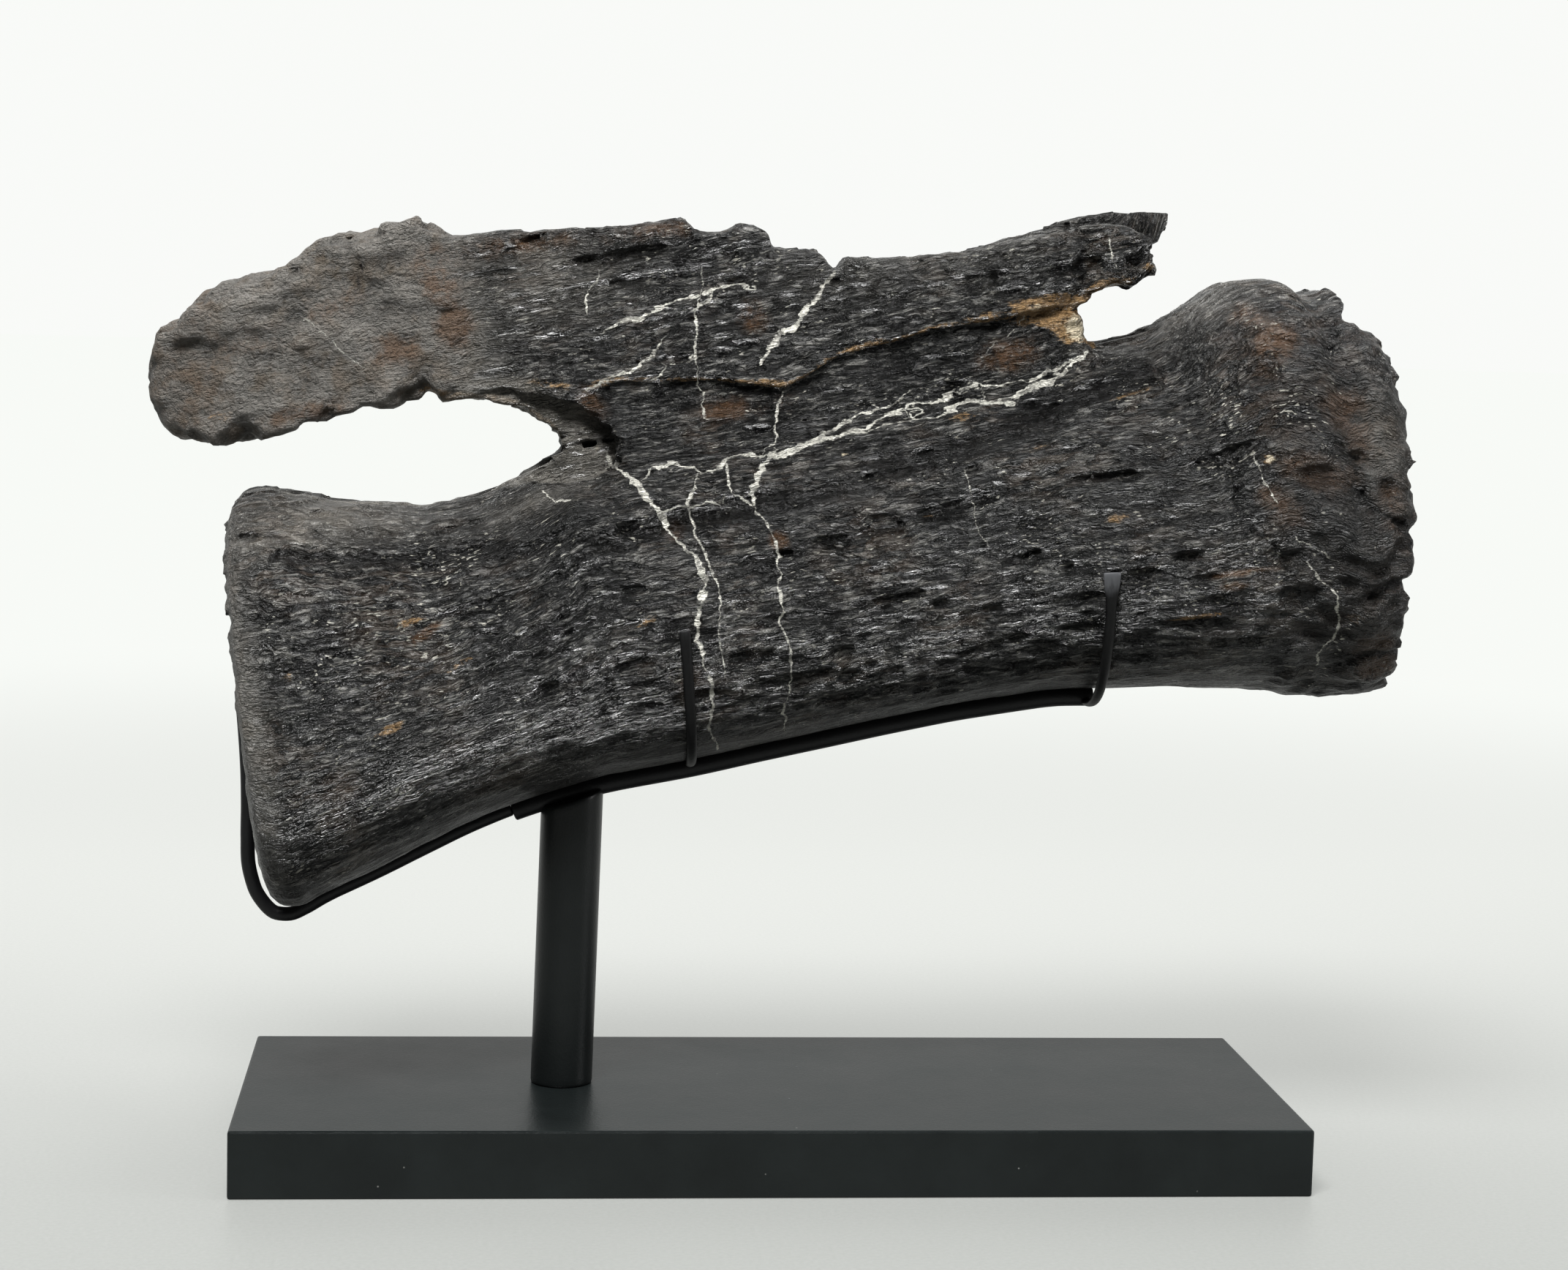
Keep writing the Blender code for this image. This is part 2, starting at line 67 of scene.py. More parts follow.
# u, how square the upper half of a section is, and the lower half
squareness = np.array([
    (-144.0, 2.45, 2.50), (-100.0, 2.30, 2.30), (-20.0, 2.20, 2.40),
    (70.0, 2.30, 2.30), (120.0, 2.75, 2.00), (139.0, 2.90, 1.90),
])
# v, u of the front rim's worn edge
front_rim = np.array([
    (-44.0, 136.4), (-40.6, 137.6), (-33.7, 135.8), (-27.3, 136.0), (-17.2, 136.0), (-9.4, 135.2),
    (-3.3, 138.0), (5.5, 138.6), (18.9, 138.6), (28.9, 139.0), (37.5, 139.8), (45.4, 139.2),
    (49.6, 137.2), (51.2, 133.4), (54.4, 131.4), (57.1, 132.2), (60.0, 133.6), (66.0, 132.0),
])
# u, lower edge, upper edge, half thickness at the top
blade_stations = np.array([
    (-158.4, 74.8, 78.6, 2.6), (-156.0, 68.4, 81.4, 5.0), (-152.5, 64.5, 88.0, 7.0),
    (-147.0, 61.2, 90.6, 8.4), (-142.0, 60.2, 95.0, 9.2), (-134.0, 59.6, 98.0, 9.8),
    (-124.0, 61.6, 99.2, 10.2), (-117.0, 63.0, 100.8, 10.4), (-114.0, 63.4, 103.0, 10.4),
    (-105.0, 65.2, 105.5, 10.2), (-100.0, 64.0, 104.9, 10.0), (-94.0, 65.2, 106.5, 9.7),
    (-90.5, 66.4, 106.0, 9.5), (-87.0, 64.0, 106.4, 9.2), (-84.0, 63.4, 105.0, 9.0),
    (-81.5, 63.0, 103.4, 8.7), (-79.0, 62.6, 101.0, 8.4), (-70.0, 59.6, 101.0, 7.8),
    (-64.0, 55.4, 100.8, 7.6), (-59.5, 50.5, 100.2, 7.6), (-56.5, 38.0, 99.8, 7.6),
    (-54.0, 32.0, 99.5, 7.6), (-40.0, 30.0, 99.2, 7.4), (-23.0, 30.0, 98.8, 7.2),
    (-20.4, 30.0, 95.2, 7.2), (-14.0, 30.0, 93.6, 7.2), (-9.0, 30.0, 95.2, 7.2),
    (-3.6, 30.0, 92.4, 7.2), (-1.8, 30.0, 88.0, 7.4), (8.4, 30.0, 86.3, 8.0),
    (10.6, 30.0, 82.6, 8.4), (12.0, 30.0, 81.2, 8.6), (15.6, 30.0, 83.6, 9.2),
    (24.0, 30.0, 82.2, 10.6), (34.0, 31.0, 81.6, 12.6), (46.0, 32.0, 81.4, 14.8),
    (56.0, 33.0, 82.4, 16.2), (62.0, 34.0, 82.4, 16.8), (67.0, 36.0, 80.5, 16.6),
    (69.4, 44.0, 76.0, 15.8),
])
# u, lower edge, upper edge, middle across, half thickness
near_process = np.array([
    (50.0, 64.0, 79.0, -11.6, 4.4), (60.0, 65.0, 81.6, -12.0, 4.9), (70.0, 66.0, 83.4, -12.4, 5.0),
    (72.5, 67.4, 83.6, -12.5, 5.0), (79.0, 69.4, 83.4, -12.8, 4.8), (82.4, 67.8, 82.8, -13.0, 4.6),
    (84.5, 69.4, 81.6, -13.0, 4.4), (88.6, 71.2, 78.8, -13.1, 3.0),
])
far_process = np.array([
    (50.0, 64.0, 80.0, 11.6, 4.4), (60.0, 65.4, 83.0, 12.0, 4.8), (70.0, 68.0, 85.2, 12.4, 4.8),
    (80.0, 70.6, 86.4, 12.8, 4.4), (90.0, 75.6, 86.0, 13.0, 3.9), (95.5, 78.2, 85.8, 13.1, 3.3),
    (98.4, 79.6, 85.2, 13.1, 2.2),
])
# u, v of the step where the upper plate of the near side ends, from the rear to the front
step_line = np.array([
    (-60.0, 60.0), (-52.0, 61.4), (-43.0, 62.2), (-33.0, 60.9), (-21.0, 59.6), (-13.0, 57.6),
    (-5.4, 55.2), (0.2, 57.1), (9.1, 61.4), (16.2, 62.4), (26.0, 63.3), (33.0, 64.7),
    (42.0, 64.9), (51.0, 64.6), (56.1, 66.0), (62.0, 67.4), (72.0, 68.4),
])


def ease(a, b, x):
    """0 at a, 1 at b, and a smooth S between."""
    t = np.clip((x - a) / (b - a), 0.0, 1.0)
    return t * t * (3.0 - 2.0 * t)


def rows(table, u):
    """The table's columns at each u: cubic pieces whose slopes are harmonic means, so no station is overshot.
    Before the first station and after the last one the columns stay as they are there."""
    x, y = table[:, 0], table[:, 1:]
    step = np.diff(x)[:, None]
    rise = np.diff(y, axis=0) / step
    slope = np.zeros_like(y)
    same = rise[:-1] * rise[1:] > 0
    slope[1:-1] = np.where(same, 2.0 * rise[:-1] * rise[1:] / np.where(same, rise[:-1] + rise[1:], 1.0), 0.0)
    fine = np.linspace(x[0], x[-1], 4000)
    k = np.clip(np.searchsorted(x, fine, side="right") - 1, 0, len(x) - 2)
    t = ((fine - x[k]) / (x[k + 1] - x[k]))[:, None]
    left = y[k] * (1 + 2 * t) * (1 - t) ** 2 + slope[k] * step[k] * t * (1 - t) ** 2
    right = y[k + 1] * t ** 2 * (3 - 2 * t) + slope[k + 1] * step[k] * t ** 2 * (t - 1)
    return [np.interp(u, fine, column) for column in (left + right).T]


def lattice_noise(p, seed):
    """Smooth noise from -1 to 1: random numbers hashed on whole-number points, S curves between them."""
    cell = np.floor(p).astype(np.int64)
    t = p - cell
    t = t * t * (3.0 - 2.0 * t)
    total = np.zeros(len(p))
    for corner in range(8):
        bit = np.array([corner & 1, corner >> 1 & 1, corner >> 2 & 1])
        at = cell + bit
        h = at[:, 0] * 374761393 + at[:, 1] * 668265263 + at[:, 2] * 2147483647 + seed * 1274126177
        h = h & 0xFFFFFFFF
        h = ((h ^ (h >> 13)) * 1274126177) & 0xFFFFFFFF
        value = ((h ^ (h >> 16)) & 0xFFFFFF) / 8388607.5 - 1.0
        total += value * np.prod(np.where(bit, t, 1.0 - t), axis=1)
    return total


def blend_in(a, b, radius):
    """The union of two inside-below-zero fields, its crease filled to the given radius."""
    h = np.clip(0.5 + 0.5 * (b - a) / radius, 0.0, 1.0)
    return b * (1 - h) + a * h - radius * h * (1 - h)


def blend_out(a, b, radius):
    """Where both fields are inside, with the edge rounded: the union of their outsides."""
    return -blend_in(-a, -b, radius)


def lean(u):
    """How far the rear face leans back per millimetre of height."""
    return 0.045 * (1.0 - ease(-142.0, -70.0, u))


def centrum_field(u, y, v):
    """Distance past the rounded square of the point's own section, cut by two end faces that dish inwards."""
    u = u - lean(u) * (v + 5.0)
    inner = np.clip(u, centrum_stations[0, 0], centrum_stations[-1, 0])
    top, bottom, half = rows(centrum_stations, inner)
    above, below = rows(squareness, inner)
    middle, height = 0.5 * (top + bottom), 0.5 * (top - bottom)
    power = np.where(v > middle, above, below)
    reach = (np.abs(y / half) ** power + np.abs((v - middle) / height) ** power) ** (1.0 / power)
    out = np.hypot(y, v - middle) * (1.0 - 1.0 / np.maximum(reach, 1e-3))
    dish = 7.0 * (1.0 - ease(0.0, 0.94, reach))
    front = np.interp(v, front_rim[:, 0], front_rim[:, 1])
    ends = np.maximum(centrum_stations[0, 0] + dish - u, u - front + dish)
    return blend_out(out, ends, 1.6)


def arch_spread(u, v):
    """What the arch adds to the plate's half thickness as it widens down to the centrum."""
    wide = np.interp(v, (36.0, 46.0, 54.0, 62.0, 72.0, 86.0), (13.0, 9.6, 7.2, 4.6, 1.8, 0.0))
    return wide * ease(-84.0, -52.0, u) * (1.0 - 0.75 * ease(0.0, 60.0, u))


def blade_field(u, y, v):
    """The upright plate between its lower and upper edge lines, its near side set back under the step."""
    low, high, thick = rows(blade_stations, u)
    thick = thick + arch_spread(u, v)
    drop = np.interp(u, step_line[:, 0], step_line[:, 1]) - v
    along = ease(-56.0, -44.0, u) * (1.0 - ease(56.0, 70.0, u))
    inset = 2.3 * ease(-0.4, 1.3, drop) * np.exp(-np.maximum(drop, 0.0) / 9.0) * along
    lip = 0.7 * np.exp(-((drop + 1.6) / 2.2) ** 2) * along
    thick = thick + np.where(y < 0, lip - inset, 0.4 * (lip - inset))
    edges = np.maximum(low - v, v - high)
    ends = np.maximum(blade_stations[0, 0] - u, u - blade_stations[-1, 0])
    crisp = 4.4 - 2.4 * ease(-92.0, -80.0, u)
    return blend_out(blend_out(np.abs(y) - thick, edges, crisp), ends, 3.0)


def process_field(u, y, v, table):
    """A rounded beam between its lower and upper edge lines, off to one side of the middle."""
    low, high, centre, thick = rows(table, u)
    edges = np.maximum(low - v, v - high)
    ends = np.maximum(table[0, 0] - u, u - table[-1, 0])
    return blend_out(blend_out(np.abs(y - centre) - thick, edges, 2.2), ends, 1.2)


# u, v of the neural canal's axis at its rear end and at its front one, then its half width and half height
CANAL_REAR = (-72.0, 46.6)
CANAL_FRONT = (86.0, 60.6)
CANAL_HALF = (6.2, 5.4)
CANAL_MIDDLE = 7.0
CANAL_HALF_LENGTH = 82.0


def canal_field(u, y, v):
    """Distance past the canal's oval tube, whose axis climbs evenly from its rear end to its front one."""
    climb = (CANAL_FRONT[1] - CANAL_REAR[1]) / (CANAL_FRONT[0] - CANAL_REAR[0])
    axis = CANAL_REAR[1] + (u - CANAL_REAR[0]) * climb
    return (np.hypot(y / CANAL_HALF[0], (v - axis) / CANAL_HALF[1]) - 1.0) * 5.6


# u, v of the middle of the canal's rear mouth, its half length and half height, turn and near-side depth
MOUTH_MIDDLE = (-66.0, 51.5)
MOUTH_HALF = (20.5, 10.6)
MOUTH_TURN = -0.35
MOUTH_DEPTH = 7.6


def mouth_field(u, y, v):
    """The oval bite out of the near wall where the canal opens at the rear."""
    c, s = math.cos(MOUTH_TURN), math.sin(MOUTH_TURN)
    du, dv = u - MOUTH_MIDDLE[0], v - MOUTH_MIDDLE[1]
    along, up = du * c + dv * s, -du * s + dv * c
    return np.maximum((np.hypot(along / MOUTH_HALF[0], up / MOUTH_HALF[1]) - 1.0) * 10.0, y + MOUTH_DEPTH)


def bone_form(u, y, v):
    """The smooth bone: centrum, plate and processes run together, less the canal and its rear mouth."""
    body = blend_in(centrum_field(u, y, v), blade_field(u, y, v), 7.0)
    body = blend_in(body, process_field(u, y, v, near_process), 3.0)
    body = blend_in(body, process_field(u, y, v, far_process), 3.0)
    canal = np.maximum(canal_field(u, y, v), np.abs(u - CANAL_MIDDLE) - CANAL_HALF_LENGTH)
    return blend_out(blend_out(body, -canal, 1.6), -mouth_field(u, y, v), 1.4)


def flow(u, y, v):
    """The bone's own grain directions: along it, and round and up its section as shares of its size."""
    top, bottom, half = rows(centrum_stations, u)
    middle, height = 0.5 * (top + bottom), 0.5 * (top - bottom)
    plate = ease(30.0, 52.0, v) * (1.0 - ease(84.0, 100.0, u))
    across = (1 - plate) * y / half * 34.0 + plate * (y * 1.1)
    up = (1 - plate) * ((v - middle) / height * 36.0) + plate * (v - 0.03 * u - 8.0)
    return np.stack([u, across, up], -1)


CRACK_BEND = 1.4
# u, v along each open crack and groove of the near side, then its depth and width
cracks = [
    ([(105.8, 59.4), (100.5, 43.7), (95.4, 30.5), (96.9, 12.8), (107.6, -2.8), (116.8, -16.5)], 0.7, 0.9),
    ([(124.0, 15.0), (128.0, 10.0), (132.5, 5.0), (137.0, 2.0)], 1.3, 0.9),
    ([(118.0, 30.0), (124.0, 22.0), (126.0, 15.0)], 0.7, 0.8),
    ([(126.0, -12.0), (131.0, -9.5), (137.0, -8.0)], 1.2, 1.0),
    ([(119.0, -30.0), (126.0, -27.0), (136.0, -28.0)], 0.9, 0.9),
    ([(112.0, 52.0), (120.0, 47.0), (128.0, 45.0)], 0.6, 0.9),
    ([(70.0, 86.0), (71.2, 80.0), (69.6, 74.0), (70.4, 68.0)], 1.0, 0.6),
    ([(-79.0, 104.0), (-75.4, 97.0), (-78.5, 91.0)], 0.45, 1.3),
    ([(-76.0, 83.0), (-79.5, 76.0), (-76.0, 70.0)], 0.35, 1.2),
    ([(-104.0, 104.0), (-102.0, 98.0), (-104.5, 92.0)], 0.7, 0.8),
    ([(-123.0, 99.0), (-120.0, 90.0), (-122.0, 82.0), (-117.0, 74.0)], 0.35, 0.8),
    ([(-48.0, 60.6), (-40.0, 57.0), (-30.0, 54.5), (-18.0, 53.0)], 0.6, 0.9),
    ([(-55.0, 24.4), (-41.0, 26.6), (-23.0, 28.4), (-5.0, 28.8), (13.0, 32.2), (31.0, 35.0), (49.0, 39.4),
      (67.0, 44.0), (82.0, 47.0)], 1.5, 2.6),
    ([(-130.0, 33.0), (-112.0, 29.5), (-92.0, 27.0), (-74.0, 26.0), (-58.0, 26.5)], 0.9, 2.2),
    ([(-20.0, 16.0), (2.0, 18.0), (24.0, 20.5), (44.0, 25.0)], 0.8, 1.8),
    ([(40.0, 8.0), (62.0, 10.0), (84.0, 13.0)], 0.7, 1.6),
    ([(-92.0, -12.0), (-66.0, -5.0), (-44.0, -3.0)], 0.6, 1.6),
]


def crack_depth(u, v):
    """The deepest crack at each point: its depth times a bell curve of the distance from its line."""
    deepest = np.zeros(len(u))
    for line, depth, width in cracks:
        nearest = np.full(len(u), 99.0)
        for (u0, v0), (u1, v1) in zip(line[:-1], line[1:]):
            du, dv = u1 - u0, v1 - v0
            t = np.clip(((u - u0) * du + (v - v0) * dv) / (du * du + dv * dv), 0.0, 1.0)
            nearest = np.minimum(nearest, np.hypot(u - u0 - t * du, v - v0 - t * dv))
        deepest = np.maximum(deepest, depth * np.exp(-(nearest / width) ** 2))
    return deepest


def rough_noises(p):
    """Three noises at each point: 9 mm lumps, 5 mm knobs pushed about by the lumps, and 2.8 mm grit."""
    lumps = lattice_noise(p / 9.0 + 50.0, 11)
    knobs = lattice_noise(p / 5.0 + 80.0 + 0.9 * lumps[:, None], 13)
    return lumps, knobs, lattice_noise(p / 2.8 + 20.0, 17)


def near_cracks(p, knobs, grit):
    """The cracks' depth at each point of the near side, with their lines bent by the knobs and the grit."""
    return crack_depth(p[:, 0] + CRACK_BEND * knobs, p[:, 2] + CRACK_BEND * grit) * ease(0.0, -4.0, p[:, 1])


def weathering(u, y, v):
    """How far the real surface stands out of the smooth form: low waves all over and flakes along the grain,
    with sharp ridges where a noise is zero; plus lumps, knobs and grit on the spine's rear half, the rims and
    the broken processes; less the cracks and a groove inside the rear lip; and chips out of the plate's upper
    edge and the spine's lower one."""
    f = flow(u, y, v)
    here = np.stack([u, y, v], -1)
    lumps, knobs, grit = rough_noises(here)
    spine = ease(-66.0, -92.0, u) * ease(50.0, 58.0, v)
    front_rough = ease(92.0, 116.0, u) * (1.0 - 0.8 * ease(56.0, 62.0, v))
    rims = np.maximum(front_rough, 0.35 * ease(-128.0, -140.0, u))
    grain = (1.0 - 0.8 * spine) * (1.0 - 0.4 * rims)
    long_flakes = lattice_noise(f / np.array([12.0, 3.6, 3.4]) + 7.0, 3)
    short_flakes = lattice_noise(f / np.array([6.0, 2.3, 2.2]) + 31.0, 5)
    broad = lattice_noise(here / np.array([28.0, 13.0, 13.0]) + 110.0, 19)
    ragged = ease(60.0, 72.0, u) * ease(62.0, 67.0, v) * (1.0 - ease(98.0, 102.0, u))
    flakes = 0.72 * (1 - 2 * np.abs(long_flakes)) + 0.55 * (1 - 2 * np.abs(short_flakes)) - 0.45
    height = 0.5 * broad + grain * flakes
    height = height + spine * (1.1 * lumps + 1.0 * knobs + 0.8 * grit - 0.25)
    height = height + rims * (1.1 * lumps + 1.0 * knobs + 0.9 * grit - 0.15) * (1.0 - spine)
    height = height + ragged * (1.3 * np.minimum(knobs, 0.1) + 0.6 * grit)
    height = height - near_cracks(here, knobs, grit)
    height = height - 0.9 * np.exp(-((u + 134.8) / 1.5) ** 2) * ease(50.0, 36.0, v)
    low, high, _ = rows(blade_stations, u)
    crest = np.exp(-((v - high) / 4.0) ** 2) * (u < 72.0)
    foot = np.exp(-((v - low) / 3.0) ** 2) * (u < -60.0)
    return height + crest * np.minimum(1.5 * knobs + 0.7 * grit + 0.25, 0.2) + foot * np.minimum(knobs, 0.2)


def bone_field(u, y, v):
    """The weathered bone, below zero inside. Low down the relief is a quarter as high, save in front."""
    smooth = bone_form(u, y, v)
    close = np.abs(smooth) < 6.0
    out = smooth.copy()
    u, y, v = u[close], y[close], v[close]
    share = np.maximum(0.25 + 0.75 * ease(-30.0, -12.0, v + 0.16 * np.minimum(u, 0.0)), ease(92.0, 112.0, u))
    out[close] -= weathering(u, y, v) * share
    return out


def surface_nets(values, low, step):
    """The zero surface of a field on a box grid: each cell that it crosses gets one point, the mean of where
    it cuts the cell's edges, and each grid edge that it cuts gets the square of the four cells round it."""
    inside = values < 0
    shape = tuple(n - 1 for n in values.shape)
    count = np.zeros(shape, np.int8)
    corners = [(i, j, k) for i in (0, 1) for j in (0, 1) for k in (0, 1)]
    for i, j, k in corners:
        count += inside[i:i + shape[0], j:j + shape[1], k:k + shape[2]]
    cells = np.argwhere((count > 0) & (count < 8))
    at = {c: values[tuple((cells + np.array(c)).T)] for c in corners}
    total, hits = np.zeros((len(cells), 3)), np.zeros(len(cells))
    for a in corners:
        for axis in range(3):
            if a[axis] == 0:
                b = tuple(1 if n == axis else a[n] for n in range(3))
                cut = (at[a] < 0) != (at[b] < 0)
                t = np.where(cut, at[a] / np.where(cut, at[a] - at[b], 1.0), 0.0)
                total += (np.array(a, float)[None] + t[:, None] * np.eye(3)[axis]) * cut[:, None]
                hits += cut
    points = low + (cells + total / hits[:, None]) * step
    number = np.full(shape, -1, np.int32)
    number[tuple(cells.T)] = np.arange(len(cells))
    squares = []
    for axis in range(3):
        b, c = (axis + 1) % 3, (axis + 2) % 3
        first = [slice(1, n - 1) for n in values.shape]
        first[axis] = slice(0, values.shape[axis] - 1)
        second = list(first)
        second[axis] = slice(1, values.shape[axis])
        start, end = inside[tuple(first)], inside[tuple(second)]
        edges = np.argwhere(start != end)
        out = start[tuple(edges.T)]
        base = edges + np.array([0 if n == axis else 1 for n in range(3)])
        ring = []
        for db, dc in ((0, 0), (-1, 0), (-1, -1), (0, -1)):
            move = np.zeros(3, int)
            move[b], move[c] = db, dc
            ring.append(number[tuple((base + move).T)])
        ring = np.stack(ring, -1)
        squares.append(np.where(out[:, None], ring, ring[:, ::-1]))
    return points, np.concatenate(squares)


def field_slope(u, y, v, reach=0.35):
    """The direction out of the bone at each point, from differences of the field."""
    side = np.stack([
        bone_field(u + reach, y, v) - bone_field(u - reach, y, v),
        bone_field(u, y + reach, v) - bone_field(u, y - reach, v),
        bone_field(u, y, v + reach) - bone_field(u, y, v - reach),
    ], -1)
    return side / (2 * reach)


def to_room(p):
    """From the bone's millimetres to the room's metres: pitched up at the front and set on the stand."""
    c, s = math.cos(BONE_PITCH), math.sin(BONE_PITCH)
    x = BONE_PLACE[0] + p[:, 0] * c - p[:, 2] * s
    z = BONE_PLACE[2] + p[:, 0] * s + p[:, 2] * c
    return np.stack([x, BONE_PLACE[1] + p[:, 1], z], -1) * 0.001


def hold_within(p, low, high, margin):
    """Presses what comes within the margin of a box's sides back inside them, harder the nearer it comes."""
    middle, half = 0.5 * (low + high), 0.5 * (high - low)
    off = np.abs(p - middle) - (half - margin)
    pressed = half - margin + margin * np.tanh(np.maximum(off, 0.0) / margin)
    return np.where(off > 0, middle + np.sign(p - middle) * pressed, p)


def put_mesh(name, points, *faces):
    """Puts points and closed polygons, one array for each number of corners, into a new smooth-shaded mesh,
    its faces turned so that the volume that they close is positive."""
    corners = np.concatenate([f.ravel() for f in faces])
    size = np.concatenate([np.full(len(f), f.shape[1]) for f in faces])
    start = np.concatenate([[0], np.cumsum(size)[:-1]])
    volume = sum(
        np.einsum("ij,ij->", points[f[:, 0]], np.cross(points[f[:, n]], points[f[:, n + 1]]))
        for f in faces for n in range(1, f.shape[1] - 1)
    )
    if volume < 0:
        corners = np.concatenate([f[:, ::-1].ravel() for f in faces])
    mesh = bpy.data.meshes.new(name)
    mesh.vertices.add(len(points))
    mesh.vertices.foreach_set("co", np.asarray(points, np.float32).ravel())
    mesh.loops.add(len(corners))
    mesh.loops.foreach_set("vertex_index", corners.astype(np.int32))
    mesh.polygons.add(len(size))
    mesh.polygons.foreach_set("loop_start", start.astype(np.int32))
    mesh.update(calc_edges=True)
    mesh.shade_smooth()
    made = bpy.data.objects.new(name, mesh)
    bpy.context.scene.collection.objects.link(made)
    return made


def paint(thing, name, values):
    """Stores one number, or three, for each point of the mesh."""
    kind, field = ("FLOAT", "value") if values.ndim == 1 else ("FLOAT_VECTOR", "vector")
    layer = thing.data.attributes.new(name, kind, "POINT")
    layer.data.foreach_set(field, np.asarray(values, np.float32).ravel())


# The cells' size, the lowest corner and the size of a box round the bone, how far a point may move in one step
# towards the surface, and the margin in metres in which the solid's box presses points back
GRID_STEP = np.array([1.70, 1.08, 1.08])
GRID_LOW = np.array([-163.0, -51.0, -62.0])
GRID_SIZE = np.array([307.0, 102.0, 174.0])
FARTHEST_STEP = 0.35
PRESS_MARGIN = 0.0016
grid_count = np.ceil(GRID_SIZE / GRID_STEP).astype(int)
axes = [GRID_LOW[n] + GRID_STEP[n] * np.arange(grid_count[n]) for n in range(3)]
grid = [a.ravel() for a in np.meshgrid(*axes, indexing="ij")]
bone_points, bone_squares = surface_nets(bone_field(*grid).reshape(grid_count), GRID_LOW, GRID_STEP)
for _ in range(2):
    slope = field_slope(*bone_points.T)
    steep = np.maximum((slope ** 2).sum(1), 0.3)
    move = slope * (bone_field(*bone_points.T) / steep)[:, None]
    bone_points = bone_points - np.clip(move, -FARTHEST_STEP, FARTHEST_STEP)
bone_facing = field_slope(*bone_points.T)
bone_facing /= np.linalg.norm(bone_facing, axis=1)[:, None] + 1e-9
vertebra_low, vertebra_high = (np.array(c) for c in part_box("vertebra"))
room_points = hold_within(to_room(bone_points), vertebra_low, vertebra_high, PRESS_MARGIN)
vertebra = put_mesh("fossil_vertebra", room_points, bone_squares)
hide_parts("vertebra")
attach(vertebra, "root")
paint(vertebra, "grain", flow(*bone_points.T))

# The bone's white veins
# Cracks that calcite filled while the bone was buried. They lie in the stone, flush or a hair proud, and
# branch over the side and the plate. Each line is u, v and width in millimetres, on one side or the other.

